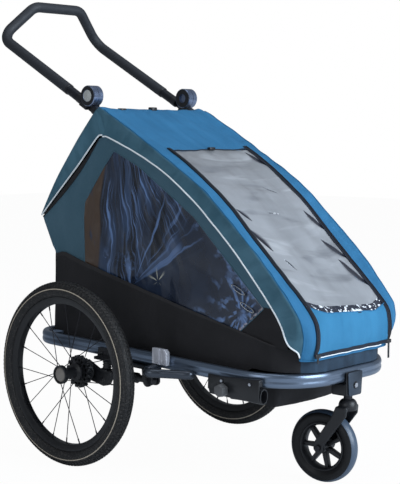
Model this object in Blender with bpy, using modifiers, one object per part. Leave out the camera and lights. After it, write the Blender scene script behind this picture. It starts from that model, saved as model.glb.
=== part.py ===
"""Child bike trailer in stroller trim, built piece by piece at its real size.

Lengths are metres, +Z is up, -Y is the nose and +X is the trailer's left side.
The body frame sits nose-down on its wheels, so most pieces are drawn level and
hang under one tilted empty. Wheels, arms and caster are drawn upright.
"""

import math

import bmesh
import bpy
from mathutils import Matrix, Vector

SIDES = (("l", 1), ("r", -1))
GAP = 0.0003

# Where the rear axle lies behind the model's origin, and how the body sits on it.
AXLE_Y = 0.1368
BODY_TILT = math.atan(0.032)
TILT_Z = 0.3119

# Oval base rail, level body frame.
RAIL_HALF_WIDTH = 0.250
RAIL_FRONT_Y = -0.699
RAIL_REAR_Y = 0.253
RAIL_FRONT_CORNER = 0.170
RAIL_REAR_CORNER = 0.088
RAIL_SECTION = (0.022, 0.036)
RAIL_WAIST = 0.0016
RAIL_SIDES = 12
RAIL_Z = 0.3119
RAIL_BOTTOM = RAIL_Z - RAIL_SECTION[1] / 2
RAIL_TOP = RAIL_Z + RAIL_SECTION[1] / 2

# Fabric planes on each side of the cabin, distances from the middle plane.
SKIRT_FACE = 0.2086
SKIRT_THICKNESS = 0.003
PANEL_INNER, PANEL_OUTER = 0.2030, 0.2052
TUB_FACE = 0.2094
TUB_THICKNESS = 0.0036
ZIP_X = 0.159
WINDOW_GAP = 0.0015

# Side view of the cabin as (y, z): roof edge from the rear corner to the nose.
ROOF_EDGE = (
    (0.0300, 0.9650), (0.0190, 0.9665), (-0.0180, 0.9495), (-0.1096, 0.9040), (-0.1985, 0.8570),
    (-0.2869, 0.8097), (-0.3683, 0.7622), (-0.4284, 0.7141), (-0.4876, 0.6659),
    (-0.5441, 0.6177), (-0.5949, 0.5693), (-0.6417, 0.5207), (-0.6851, 0.4721),
    (-0.6976, 0.4424), (-0.7015, 0.4226), (-0.7010, 0.4025), (-0.6960, 0.3660),
)
# The front window's zip line, which runs a little lower than the edge at mid height.
ZIP_LINE = (
    (0.0300, 0.9600), (0.0190, 0.9620), (-0.0180, 0.9465), (-0.1096, 0.9010), (-0.2210, 0.8476),
    (-0.2867, 0.8097), (-0.3588, 0.7619), (-0.4224, 0.7139), (-0.4747, 0.6655),
    (-0.5288, 0.6172), (-0.5829, 0.5689), (-0.6370, 0.5206), (-0.6855, 0.4721),
    (-0.6988, 0.4425), (-0.7015, 0.4026), (-0.6965, 0.3660),
)
WINDOW_TOP_Z = 0.856
WINDOW_BOTTOM_Z = 0.382
# Silver piping that ends the roof's side skirt, from the peak to the nose.
FRONT_PIPING = (
    (0.0053, 0.8873), (-0.0222, 0.8831), (-0.1667, 0.8298), (-0.3061, 0.7533),
    (-0.4699, 0.6210), (-0.5870, 0.5022), (-0.6287, 0.4484), (-0.6551, 0.4048),
    (-0.6852, 0.3879), (-0.6960, 0.3760),
)
REAR_PIPING = ((0.0053, 0.8873), (0.0248, 0.8801), (0.0956, 0.8055), (0.1769, 0.7253), (0.2508, 0.6511))
REAR_EDGE = (
    (0.0345, 0.9600), (0.0492, 0.9466), (0.1100, 0.8750), (0.1780, 0.7874), (0.2220, 0.7180),
    (0.2569, 0.6569),
)
BELLY_EDGE = (
    (0.2540, 0.6540), (0.2479, 0.6346), (0.2124, 0.5714), (0.1991, 0.5468),
    (0.1951, 0.4436), (0.1933, 0.3315),
)
TUB_EDGE = (
    (0.1930, 0.5484), (0.1578, 0.5587), (0.0750, 0.5374), (-0.2484, 0.4680),
    (-0.4921, 0.4207), (-0.6250, 0.3945), (-0.6600, 0.3850), (-0.7040, 0.3820),
)
TUB_BOTTOM = (
    (0.1930, 0.3315), (0.1450, 0.3315), (0.1380, 0.3020), (-0.5000, 0.3020), (-0.5400, 0.3315),
    (-0.7040, 0.3315),
)
TUB_NOSE_Y = -0.690
TUB_NOSE_RADIUS = 0.120
# The canopy's nose corners, sharp at the first height and fully rounded at the second.
NOSE_ROUND_FROM, NOSE_ROUND_TO = 0.540, 0.366
NOSE_RADIUS = (0.006, 0.085)
SIDE_WINDOW = (
    (-0.0346, 0.8498), (0.0072, 0.7990), (0.0772, 0.7038), (0.0804, 0.6618),
    (0.0738, 0.5300), (-0.2484, 0.4600), (-0.4921, 0.4127), (-0.5718, 0.4844),
    (-0.4615, 0.5798), (-0.3323, 0.6933), (-0.1270, 0.8139),
)

# Folding frame, level body frame.
HOOP_X = 0.190
HOOP_FOOT_X = 0.132
HOOP_BEND_Z = 0.540
HOOP_RADIUS = 0.0125
HOOP_INSET = 0.0215
HOOP_PIVOT = (-0.642, 0.356)
HOOP_PIN_RADIUS = 0.005
CROSS_TUBE_RADIUS = 0.008
STRUT_PIVOT = (0.022, 0.932)
STRUT_X = 0.166
STRUT_RADIUS = 0.009
STRUT_PATH = ((0.022, 0.932), (0.096, 0.857), (0.1665, 0.779), (0.238, 0.655))
KNEE = (0.238, 0.655)
POST_PIVOT = (0.178, 0.352)
POST_RADIUS = 0.009
POST_PATH = ((0.178, 0.352), (0.178, 0.420), (0.184, 0.540), (0.202, 0.585), (0.242, 0.663))
KNEE_PIN_RADIUS = 0.004

# Push handle and its hinges, level body frame.
HINGE_CENTRE = (0.0686, 0.9965)
HINGE_RADIUS = 0.0285
HINGE_INNER, HINGE_SEAM, HINGE_OUTER = 0.1742, 0.1920, 0.2098
ROOF_DIRECTION = (0.895, 0.446)
HANDLE_FOOT = (0.0812, 0.9711)
HALF_LAP = 0.0250
SOCKET_END = 0.0450
HANDLE_BEND = (0.460, 1.1630)
HANDLE_BAR = (0.430, 1.257)
HANDLE_BAR_X = 0.0906
GRIP_RADIUS = 0.0155
GRIP_START = 0.090
BUTTON_RADIUS = 0.013

# Rear wheels, drawn upright with the axle at Y = 0.
WHEEL_X = 0.338
WHEEL_Z = 0.250
TYRE_RADIUS = 0.250
TYRE_WIDTH = 0.047
BEAD_RADIUS = 0.2038
RIM_INNER = 0.190
RIM_WIDTH = 0.029
SPOKES_PER_FLANGE = 10
SPOKE_RADIUS = 0.001
BRAKE_TEETH = 16
WHEEL_STEPS = 32

# Trailing arms.
ARM_X = 0.252
ARM_PIVOT = (-0.235, 0.250)
ELASTOMER_Y = -0.062

# Front caster, drawn upright.
STEM_Y = -0.6865
CASTER_Y = -0.6185
CASTER_RADIUS = 0.0946
CASTER_WIDTH = 0.042
CASTER_STEER = math.radians(6.5)

# Drawbar socket under the right rail, level body frame.
SOCKET_X = -0.235
SOCKET_REAR, SOCKET_FRONT = -0.437, -0.605
SOCKET_Z = 0.2729
SOCKET_SIZE = (0.030, 0.0405)
SOCKET_WALL = 0.0032
PLUNGER_Y, PLUNGER_Z = -0.494, 0.2765

# Seat, level body frame.
SEAT_PIVOT = (0.100, 0.375)
SEAT_RECLINE = math.radians(86)
SEAT_LENGTH = 0.380


# Scene set-up.
def clear_scene():
    for obj in list(bpy.data.objects):
        bpy.data.objects.remove(obj)


def new_collection(name):
    collection = bpy.data.collections.new(name)
    bpy.context.scene.collection.children.link(collection)
    return collection


clear_scene()
PARTS = new_collection("child_bike_trailer")
CUTTERS = new_collection("cutters")
PLACES = {}
HELPERS = {}


def finish(name, colour, roughness, metallic=0.0):
    made = bpy.data.materials.new(name)
    made.use_nodes = True
    shader = made.node_tree.nodes["Principled BSDF"]
    shader.inputs["Base Color"].default_value = (*colour, 1)
    shader.inputs["Roughness"].default_value = roughness
    shader.inputs["Metallic"].default_value = metallic
    return made


ANTHRACITE = finish("anthracite_frame", (0.035, 0.038, 0.043), 0.35, 0.6)
BLACK_TUBE = finish("black_tube", (0.012, 0.012, 0.014), 0.40, 0.5)
BLACK_PLASTIC = finish("black_plastic", (0.012, 0.012, 0.013), 0.50)
GREY_PLASTIC = finish("grey_plastic", (0.42, 0.43, 0.42), 0.45)
STEEL = finish("plated_steel", (0.55, 0.55, 0.56), 0.30, 1.0)
RUBBER = finish("tyre_rubber", (0.018, 0.018, 0.019), 0.80)
FOAM = finish("grip_foam", (0.016, 0.016, 0.018), 0.85)
TEAL = finish("teal_fabric", (0.035, 0.115, 0.150), 0.75)
BLUE = finish("blue_fabric", (0.025, 0.165, 0.330), 0.70)
BLACK_FABRIC = finish("black_fabric", (0.010, 0.010, 0.012), 0.80)
CLEAR_FILM = finish("clear_film", (0.25, 0.26, 0.27), 0.25)
TINTED_FILM = finish("tinted_film", (0.010, 0.016, 0.040), 0.20)
SEAT_FABRIC = finish("seat_fabric", (0.030, 0.032, 0.036), 0.85)
REFLECTOR = finish("silver_reflector", (0.55, 0.56, 0.58), 0.30, 0.3)


def pivot(name, place, carrier=None, tilt=0.0):
    """An empty at a joint or datum, given in the drawing frame of its carrier."""
    empty = bpy.data.objects.new(name, None)
    PARTS.objects.link(empty)
    start = PLACES[carrier.name] if carrier else Vector((0, 0, 0))
    empty.parent = carrier
    empty.location = Vector(place) - start
    empty.rotation_euler = (tilt, 0, 0)
    PLACES[name] = Vector(place)
    return empty


def carry(obj, empty, surface=None, name=None):
    """Hang a finished piece, and whatever cuts or joins it, from an empty."""
    obj.parent = empty
    obj.matrix_basis = Matrix.Translation(-PLACES[empty.name]) @ obj.matrix_basis
    for helper in HELPERS.get(obj.name, ()):
        carry(helper, empty)
    if surface:
        obj.data.materials.clear()
        obj.data.materials.append(surface)
    if name:
        obj.name = name
    return obj


# Shapes.
def mesh_object(name, bm):
    mesh = bpy.data.meshes.new(name)
    bm.to_mesh(mesh)
    bm.free()
    obj = bpy.data.objects.new(name, mesh)
    PARTS.objects.link(obj)
    return obj


def box(name, low, high, bevel=0.0, segments=2):
    bm = bmesh.new()
    bmesh.ops.create_cube(bm, size=1.0)
    size = [b - a for a, b in zip(low, high)]
    middle = [(a + b) / 2 for a, b in zip(low, high)]
    bmesh.ops.scale(bm, vec=size, verts=bm.verts)
    bmesh.ops.translate(bm, vec=middle, verts=bm.verts)
    obj = mesh_object(name, bm)
    if bevel:
        soften(obj, bevel, segments)
    return obj


def soften(obj, width, segments=2):
    edge = obj.modifiers.new("soft_edges", "BEVEL")
    edge.width = width
    edge.segments = segments
    edge.limit_method = "ANGLE"
    edge.angle_limit = math.radians(40)


def rod(name, start, end, radius, tip_radius=None, sides=24):
    """A straight round bar, or a cone, between two points."""
    start, end = Vector(start), Vector(end)
    along = end - start
    bm = bmesh.new()
    tip = radius if tip_radius is None else tip_radius
    bmesh.ops.create_cone(
        bm, cap_ends=True, segments=sides, radius1=radius, radius2=tip, depth=along.length
    )
    turn = along.to_track_quat("Z", "Y").to_matrix().to_4x4()
    bmesh.ops.transform(bm, matrix=Matrix.Translation((start + end) / 2) @ turn, verts=bm.verts)
    obj = mesh_object(name, bm)
    round_shade(obj)
    return obj


def across(name, x_low, x_high, yz, radius, tip_radius=None, sides=24):
    """A round bar along X through a point of the side view."""
    return rod(name, (x_low, *yz), (x_high, *yz), radius, tip_radius, sides)


def round_shade(obj):
    obj.data.shade_smooth()
    obj.data.set_sharp_from_angle(angle=math.radians(40))


def bar(name, path, radius, resolution=4, cyclic=False):
    """A tube along a smooth route of points, ends filled."""
    curve = bpy.data.curves.new(name, "CURVE")
    curve.dimensions = "3D"
    curve.bevel_depth = radius
    curve.bevel_resolution = resolution
    curve.use_fill_caps = not cyclic
    trace(curve, path, cyclic)
    obj = bpy.data.objects.new(name, curve)
    PARTS.objects.link(obj)
    return as_mesh(obj)


def trace(curve, path, cyclic):
    spline = curve.splines.new("POLY")
    spline.points.add(len(path) - 1)
    for point, place in zip(spline.points, path):
        point.co = (*place, 1) if len(place) == 3 else (*place, 0, 1)
    spline.use_cyclic_u = cyclic


def plate(name, outline, x_low, x_high, holes=()):
    """A flat sheet in the side view, given as (y, z) points, between two X planes."""
    curve = bpy.data.curves.new(name, "CURVE")
    curve.dimensions = "2D"
    curve.fill_mode = "BOTH"
    curve.extrude = abs(x_high - x_low) / 2
    for loop in (outline, *holes):
        trace(curve, loop, True)
    obj = bpy.data.objects.new(name, curve)
    PARTS.objects.link(obj)
    side_view = Matrix(((0, 0, 1, (x_low + x_high) / 2), (1, 0, 0, 0), (0, 1, 0, 0), (0, 0, 0, 1)))
    obj.matrix_basis = side_view
    return as_mesh(obj)


def as_mesh(obj):
    """Turn a curve object into a mesh object of the same name, its caps welded."""
    bpy.context.view_layer.update()
    graph = bpy.context.evaluated_depsgraph_get()
    mesh = bpy.data.meshes.new_from_object(obj.evaluated_get(graph))
    bm = bmesh.new()
    bm.from_mesh(mesh)
    bmesh.ops.remove_doubles(bm, verts=bm.verts, dist=1e-6)
    bmesh.ops.transform(bm, matrix=obj.matrix_world, verts=bm.verts)
    bmesh.ops.recalc_face_normals(bm, faces=bm.faces)
    bm.to_mesh(mesh)
    bm.free()
    name = obj.name
    bpy.data.objects.remove(obj)
    made = bpy.data.objects.new(name, mesh)
    PARTS.objects.link(made)
    round_shade(made)
    return made


def turned(name, profile, centre, ring=False, steps=32, outward=1):
    """A turned piece whose axis runs along X. The profile is (radius, distance along X)."""
    bm = bmesh.new()
    points = [bm.verts.new((radius, 0, along)) for radius, along in profile]
    pairs = list(zip(points, points[1:]))
    if ring:
        pairs.append((points[-1], points[0]))
    for pair in pairs:
        bm.edges.new(pair)
    obj = mesh_object(name, bm)
    screw = obj.modifiers.new("turn", "SCREW")
    screw.axis = "Z"
    screw.steps = steps
    screw.render_steps = steps
    screw.use_merge_vertices = True
    screw.merge_threshold = 1e-5
    screw.use_smooth_shade = True
    facing = Matrix.Rotation(math.radians(90) * outward, 4, "Y")
    obj.matrix_basis = Matrix.Translation(centre) @ facing
    return obj


def draped(name, columns, rows, place, holes=lambda i, j: False, thickness=0.003, offset=-1):
    """An open sheet, one vertex for each column and row, given a wall thickness."""
    bm = bmesh.new()
    bmesh.ops.create_grid(bm, x_segments=columns - 1, y_segments=rows - 1, size=0.5)
    for face in list(bm.faces):
        centre = face.calc_center_median()
        column = int((centre.x + 0.5) * (columns - 1))
        row = int((centre.y + 0.5) * (rows - 1))
        if holes(column, row):
            bm.faces.remove(face)
    loose = [vert for vert in bm.verts if not vert.link_faces]
    for vert in bm.verts:
        column = round((vert.co.x + 0.5) * (columns - 1))
        row = round((vert.co.y + 0.5) * (rows - 1))
        vert.co = place(column, row)
    for vert in loose:
        bm.verts.remove(vert)
    loose_edges = [edge for edge in bm.edges if not edge.link_faces]
    for edge in loose_edges:
        bm.edges.remove(edge)
    obj = mesh_object(name, bm)
    obj.data.shade_smooth()
    wall = obj.modifiers.new("wall", "SOLIDIFY")
    wall.thickness = thickness
    wall.offset = offset
    wall.use_even_offset = True
    return obj


def boolean(obj, others, operation):
    for other in others:
        step = obj.modifiers.new(other.name, "BOOLEAN")
        step.operation = operation
        step.object = other
        step.solver = "EXACT"
        other.hide_render = True
        other.display_type = "WIRE"
        PARTS.objects.unlink(other)
        CUTTERS.objects.link(other)
        HELPERS.setdefault(obj.name, []).append(other)
    return obj


def cut(obj, *others):
    return boolean(obj, others, "DIFFERENCE")


def join(obj, *others):
    return boolean(obj, others, "UNION")


# Paths.
def arc(centre, radius, start, end, steps):
    """Points of an arc, angles in degrees, both ends included."""
    points = []
    for step in range(steps + 1):
        angle = math.radians(start + (end - start) * step / steps)
        points.append((centre[0] + radius * math.cos(angle), centre[1] + radius * math.sin(angle)))
    return points


def filleted(corners, radius, steps=5):
    """A route through corners, each inner corner rounded by an arc."""
    route = [Vector(corners[0])]
    for before, corner, after in zip(corners, corners[1:], corners[2:]):
        corner = Vector(corner)
        into = (Vector(before) - corner).normalized()
        out = (Vector(after) - corner).normalized()
        half = into.angle(out) / 2
        reach = radius / math.tan(half)
        middle = corner + (into + out).normalized() * radius / math.sin(half)
        first = corner + into * reach - middle
        last = corner + out * reach - middle
        sweep = first.angle(last)
        for step in range(steps + 1):
            share = step / steps
            spoke = first * math.sin((1 - share) * sweep) + last * math.sin(share * sweep)
            route.append(middle + spoke / math.sin(sweep))
    route.append(Vector(corners[-1]))
    return route


def smooth(points, steps):
    """A smooth line through points, with the given number of spans between each two."""
    points = [Vector(point) for point in points]
    ends = [2 * points[0] - points[1], *points, 2 * points[-1] - points[-2]]
    line = []
    for index in range(1, len(ends) - 2):
        p0, p1, p2, p3 = ends[index - 1: index + 3]
        for step in range(steps):
            t = step / steps
            line.append(
                0.5 * (2 * p1 + (p2 - p0) * t + (2 * p0 - 5 * p1 + 4 * p2 - p3) * t * t
                       + (3 * p1 - p0 - 3 * p2 + p3) * t ** 3)
            )
    line.append(points[-1])
    return line


def along(points, share):
    """The point at a share of a line's length."""
    points = [Vector(point) for point in points]
    spans = [(b - a).length for a, b in zip(points, points[1:])]
    left = share * sum(spans)
    for a, b, span in zip(points, points[1:], spans):
        if left <= span:
            return a + (b - a) * (left / span)
        left -= span
    return points[-1]


def share_at_height(points, height):
    """The share of a falling line's length at which it first reaches a height."""
    points = [Vector(point) for point in points]
    spans = [(b - a).length for a, b in zip(points, points[1:])]
    done = 0.0
    for a, b, span in zip(points, points[1:], spans):
        if b.y <= height < a.y:
            return (done + span * (a.y - height) / (a.y - b.y)) / sum(spans)
        done += span
    return 1.0


def inset(points, distance):
    """A side-view line moved towards the cabin."""
    moved = []
    for index, point in enumerate(points):
        before = Vector(points[max(index - 1, 0)])
        after = Vector(points[min(index + 1, len(points) - 1)])
        run = (after - before).normalized()
        moved.append(Vector(point) + Vector((-run.y, run.x)) * distance)
    return moved


def at_x(points, x):
    return [(x, point[0], point[1]) for point in points]


# Datum and joint empties.
ROOT = pivot("trailer", (0, 0, 0))
ROOT.location = (0, AXLE_Y, 0)
BODY = pivot("body_tilt", (0, 0, TILT_Z), ROOT, BODY_TILT)
HOOP = pivot("hoop_pivot", (0, *HOOP_PIVOT), BODY)
HANDLE = pivot("handle_pivot", (0, *HINGE_CENTRE), HOOP)
STRUT = pivot("strut_pivot", (0, *STRUT_PIVOT), HOOP)
POSTS = pivot("post_pivot", (0, *POST_PIVOT), BODY)
SEAT = pivot("seat_pivot", (0, *SEAT_PIVOT), BODY)


# Base rail, welded front lugs and rear pedal lugs.
def rail_profile():
    """A tall oval with a shallow waist groove on both flanks."""
    half_width, half_height = RAIL_SECTION[0] / 2, RAIL_SECTION[1] / 2
    points = []
    for step in range(RAIL_SIDES):
        angle = 2 * math.pi * (step + 0.5) / RAIL_SIDES
        lift = half_height * math.copysign(abs(math.sin(angle)) ** 0.9, math.sin(angle))
        reach = half_width * math.copysign(abs(math.cos(angle)) ** 0.6, math.cos(angle))
        waist = RAIL_WAIST * math.exp(-((lift / 0.005) ** 2))
        points.append((reach - math.copysign(waist, reach), lift))
    return points


def rail_route():
    side = RAIL_HALF_WIDTH - RAIL_SECTION[0] / 2
    front = RAIL_FRONT_Y + RAIL_SECTION[0] / 2
    rear = RAIL_REAR_Y - RAIL_SECTION[0] / 2
    nose = RAIL_FRONT_CORNER - RAIL_SECTION[0] / 2
    tail = RAIL_REAR_CORNER - RAIL_SECTION[0] / 2
    route = arc((side - tail, rear - tail), tail, 0, 90, 4)
    route += arc((tail - side, rear - tail), tail, 90, 180, 4)
    route += arc((nose - side, front + nose), nose, 180, 270, 6)
    route += arc((side - nose, front + nose), nose, 270, 360, 6)
    return [(x, y, RAIL_Z) for x, y in route]


def base_ring():
    profile = bpy.data.curves.new("rail_section", "CURVE")
    profile.dimensions = "2D"
    trace(profile, rail_profile(), True)
    section = bpy.data.objects.new("rail_section", profile)
    CUTTERS.objects.link(section)
    section.hide_render = True
    curve = bpy.data.curves.new("base_ring", "CURVE")
    curve.dimensions = "3D"
    curve.bevel_mode = "OBJECT"
    curve.bevel_object = section
    curve.twist_mode = "Z_UP"
    trace(curve, rail_route(), True)
    ring = bpy.data.objects.new("base_ring", curve)
    PARTS.objects.link(ring)
    ring = as_mesh(ring)
    bpy.data.objects.remove(section)
    for side, sign in SIDES:
        lug = plate(
            f"hoop_lug_{side}",
            [(-0.678, 0.3065), (-0.626, 0.3065), *arc(HOOP_PIVOT, 0.013, -10, 170, 8), (-0.668, 0.3290),
             (-0.678, 0.3240)],
            sign * (HOOP_FOOT_X - 0.0175), sign * (HOOP_FOOT_X - 0.0137),
        )
        pin = across(
            f"hoop_pin_{side}", sign * (HOOP_FOOT_X - 0.0160), sign * (HOOP_FOOT_X + 0.0120), HOOP_PIVOT,
            HOOP_PIN_RADIUS, sides=12,
        )
        join(ring, lug, pin)
        ear = plate(
            f"pedal_ear_{side}",
            [(0.228, 0.300), (0.250, 0.300), *arc((0.250, 0.281), 0.007, 20, -160, 6)],
            sign * 0.036, sign * 0.040,
        )
        stub = across(f"pedal_stub_{side}", sign * 0.0300, sign * 0.0380, (0.250, 0.281), 0.003, sides=8)
        join(ring, ear, stub)
    carry(ring, BODY, ANTHRACITE)


# Floor with its sunken footwell, and the ears that carry the seat back.
WELL_HALF_WIDTH = 0.145
WELL_REAR, WELL_FRONT = -0.340, -0.585
WELL_DEPTH = 0.074
FLOOR_TOP = 0.3003
FLOOR_X = (-0.2268, -0.158, -0.147, -0.134, -0.080, 0.0)
FLOOR_Y = (
    0.165, 0.100, -0.100, -0.300, -0.330, -0.345, -0.360, -0.450, -0.550, -0.565, -0.580, -0.600, -0.635,
    -0.662,
)


def floor_point(i, j):
    across_x = FLOOR_X[i] if i < len(FLOOR_X) else -FLOOR_X[10 - i]
    y = FLOOR_Y[j]
    wide = min(max((WELL_HALF_WIDTH + 0.006 - abs(across_x)) / 0.014, 0), 1)
    long = min(max((WELL_REAR - y) / 0.018, 0), 1) * min(max((y - WELL_FRONT) / 0.022, 0), 1)
    sag = 0.006 * max(0, 1 - (across_x / WELL_HALF_WIDTH) ** 2)
    x = across_x
    if abs(x) > WELL_HALF_WIDTH + 0.006 or y < WELL_FRONT:
        x *= floor_reach(y) / floor_reach(0)
    return (x, y, FLOOR_TOP - (WELL_DEPTH + sag) * wide * long)


def floor_reach(y):
    """Half width of the floor where it meets the rail's rounded nose."""
    corner = RAIL_FRONT_CORNER - RAIL_SECTION[0] - 0.001
    straight = RAIL_HALF_WIDTH - RAIL_FRONT_CORNER
    into_bend = max(RAIL_FRONT_Y + RAIL_FRONT_CORNER - y, 0)
    return straight + math.sqrt(max(corner ** 2 - into_bend ** 2, 0.0001))


def floor_pan():
    pan = draped("floor_pan", 11, len(FLOOR_Y), floor_point, thickness=0.0025, offset=1)
    for side, sign in SIDES:
        ear = plate(
            f"seat_ear_{side}",
            [(0.080, 0.2990), (0.120, 0.2990), *arc(SEAT_PIVOT, 0.011, 0, 180, 6)],
            sign * 0.1530, sign * 0.1565,
        )
        pin = across(f"seat_pin_{side}", sign * 0.1440, sign * 0.1550, SEAT_PIVOT, 0.004, sides=12)
        join(pan, ear, pin)
    carry(pan, BODY, BLACK_FABRIC)


def rear_cross_tube():
    reach = RAIL_HALF_WIDTH - RAIL_SECTION[0] - 2 * GAP
    tube = across("rear_cross_tube", -reach, reach, (0.160, RAIL_Z), 0.011, sides=16)
    for side, sign in SIDES:
        lug = plate(
            f"post_lug_{side}",
            [(0.152, 0.308), (0.168, 0.308), *arc(POST_PIVOT, 0.0150, -30, 180, 6)],
            sign * 0.120, sign * 0.128,
        )
        join(tube, lug)
    for side, sign in SIDES:
        bore = across(f"post_bore_{side}", sign * 0.110, sign * 0.138, POST_PIVOT, POST_RADIUS + GAP, sides=20)
        cut(tube, bore)
    carry(tube, BODY, BLACK_TUBE)


# Fabric tub, panels and windows.
TUB_STATIONS = (0.190, 0.1450, 0.1380, 0.075, -0.08, -0.2484, -0.38, -0.4921, -0.53)


def tub_plan(corner):
    """Plan of the tub wall from the rear right, round the nose, to the rear left."""
    face = TUB_FACE
    stations = [(-face, y) for y in TUB_STATIONS]
    stations += arc((corner - face, TUB_NOSE_Y + corner), corner, 180, 270, 6)
    stations += arc((face - corner, TUB_NOSE_Y + corner), corner, 270, 360, 6)
    stations += [(face, y) for y in reversed(TUB_STATIONS)]
    return stations


def height_on(line, y):
    """Height of a side-view line at a station along the trailer."""
    line = sorted(line)
    for (y0, z0), (y1, z1) in zip(line, line[1:]):
        if y0 <= y <= y1:
            return z0 + (z1 - z0) * (y - y0) / (y1 - y0)
    return line[0][1] if y < line[0][0] else line[-1][1]


def tub_walls():
    plan = tub_plan(TUB_NOSE_RADIUS)

    def place(i, j):
        x, y = plan[i]
        low, high = height_on(TUB_BOTTOM, y), height_on(TUB_EDGE, y)
        return (x, y, low + (high - low) * j / 2)

    walls = draped("tub_walls", len(plan), 3, place, thickness=TUB_THICKNESS, offset=-1)
    carry(walls, BODY, BLACK_FABRIC)


def rear_panel():
    line = smooth(BELLY_EDGE, 3)

    def place(i, j):
        return (0.2012 - 0.4024 * i / 4, line[j].x, line[j].y)

    panel = draped("rear_panel", 5, len(line), place, thickness=0.003, offset=-1)
    carry(panel, BODY, TEAL)


def side_panels():
    """Teal panel: the belly at the rear and a strip over the window."""
    top = [*REAR_PIPING[::-1], *FRONT_PIPING[1:-3]]
    belly = [(0.1912, 0.5500), (0.1970, 0.5560), (0.2100, 0.5760), (0.2440, 0.6360)]
    tub = [(-0.6300, 0.3975), (-0.5420, 0.4120)]
    window = [SIDE_WINDOW[index] for index in (7, 8, 9, 10, 0, 1, 2, 3, 4)]
    outline = [*belly, *top, *tub, *window, (0.0738, 0.5392), (0.1578, 0.5600)]
    for side, sign in SIDES:
        panel = plate(f"side_panel_{side}", outline, sign * PANEL_INNER, sign * PANEL_OUTER)
        carry(panel, BODY, TEAL)


def side_windows():
    centre = Vector((-0.20, 0.62))
    outline = [Vector(point) + (centre - Vector(point)).normalized() * 0.0012 for point in SIDE_WINDOW]
    outline = [tuple(point) for point in outline]
    for side, sign in SIDES:
        pane = plate(f"side_window_{side}", outline, sign * PANEL_INNER, sign * (PANEL_OUTER - 0.0008))
        carry(pane, BODY, TINTED_FILM)


# Roof canopy with its side skirts, and the zipped front window.
ROOF_ROWS = 5
WINDOW_ROWS = 13
WINDOW_COLUMNS = (5, 8)


def canopy_section(share):
    """Half of the canopy's cross section at a share of the roof edge, from skirt to middle."""
    edge = along(ROOF_EDGE, share)
    zip_point = along(ZIP_LINE, share)
    piping = along(FRONT_PIPING, min(max((share - 0.055) / 0.945, 0.0), 1.0))
    drop = piping - edge
    shoulder = edge + drop.normalized() * min(0.006, drop.length * 0.3)
    middle = edge + drop * 0.5
    return [
        (SKIRT_FACE, piping), (SKIRT_FACE, middle), (SKIRT_FACE, shoulder),
        (SKIRT_FACE - 0.0045, edge), (0.182, edge.lerp(zip_point, 0.5)), (ZIP_X, zip_point),
        (0.080, zip_point), (0.0, zip_point),
    ]


def rounded_nose(x, y, z):
    """Moves a point of the canopy onto the nose's round corner, which grows towards the hem."""
    share = min(max((NOSE_ROUND_FROM - z) / (NOSE_ROUND_FROM - NOSE_ROUND_TO), 0), 1)
    radius = NOSE_RADIUS[0] + (NOSE_RADIUS[1] - NOSE_RADIUS[0]) * share ** 2.3
    front = height_on([(height, depth) for depth, height in ROOF_EDGE[2:]], z)
    centre = Vector((SKIRT_FACE - radius, front + radius))
    arm = Vector((abs(x), y)) - centre
    if share == 0 or arm.x <= 0 or arm.y >= 0:
        return (x, y, z)
    arm = arm * min(radius / arm.length, 1)
    return (math.copysign(centre.x + arm.x, x), centre.y + arm.y, z)


def canopy_rows():
    top = share_at_height(ROOF_EDGE, WINDOW_TOP_Z)
    sill = share_at_height(ROOF_EDGE, WINDOW_BOTTOM_Z)
    upper = [top * step / ROOF_ROWS for step in range(ROOF_ROWS)]
    front = [top + (sill - top) * step / WINDOW_ROWS for step in range(WINDOW_ROWS + 1)]
    return [*upper, *front, 1.0]


def canopy():
    shares = canopy_rows()
    sections = [canopy_section(share) for share in shares]

    def place(i, j):
        mirrored = i > 7
        x, point = sections[j][14 - i if mirrored else i]
        return rounded_nose(-x if mirrored else x, point.x, point.y)

    def window(i, j):
        in_width = WINDOW_COLUMNS[0] <= i <= WINDOW_COLUMNS[1]
        return in_width and ROOF_ROWS <= j < ROOF_ROWS + WINDOW_ROWS

    roof = draped("canopy", 15, len(shares), place, window, SKIRT_THICKNESS, -1)
    carry(roof, HOOP, BLUE)


def tube_slots():
    """Clearance round the two tubes where they come out through the rear flap."""
    run = Vector(ROOF_DIRECTION)
    foot = Vector(HANDLE_FOOT)
    low, high = foot - run * 0.110, foot + run * 0.02
    return [
        rod(f"tube_slot_{side}", (sign * HOOP_X, *low), (sign * HOOP_X, *high), HOOP_RADIUS + 0.0015, sides=16)
        for side, sign in SIDES
    ]


def front_window():
    shares = canopy_rows()[ROOF_ROWS:-1]
    shares[0] += 0.0012
    shares[-1] -= 0.0012

    def place(i, j):
        share = shares[j]
        point = along(ZIP_LINE, share)
        width = ZIP_X - WINDOW_GAP
        crown = 0.003 * math.sin(math.pi * i / 4)
        return (width - 2 * width * i / 4, point.x - crown * 0.6, point.y + crown * 0.8)

    pane = draped("front_window", 5, len(shares), place, thickness=0.0022, offset=-1)
    carry(pane, HOOP, CLEAR_FILM)


def rear_cover():
    """The roof's rear flap, from the top corner down to the belly corner."""
    line = smooth(REAR_EDGE, 2)

    def section(j):
        share = j / (len(line) - 1)
        edge = line[j]
        piping = along(REAR_PIPING, share) + Vector((0.003, 0.0035))
        return [(SKIRT_FACE, piping), (SKIRT_FACE - 0.0004, edge - (edge - piping) * 0.12),
                (SKIRT_FACE - 0.006, edge), (0.10, edge), (0.0, edge)]

    def place(i, j):
        x, point = section(j)[8 - i if i > 4 else i]
        return (-x if i > 4 else x, point.x, point.y)

    cover = draped("rear_cover", 9, len(line), place, thickness=0.0026, offset=1)
    cut(cover, *tube_slots())
    carry(cover, STRUT, TEAL)


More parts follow.
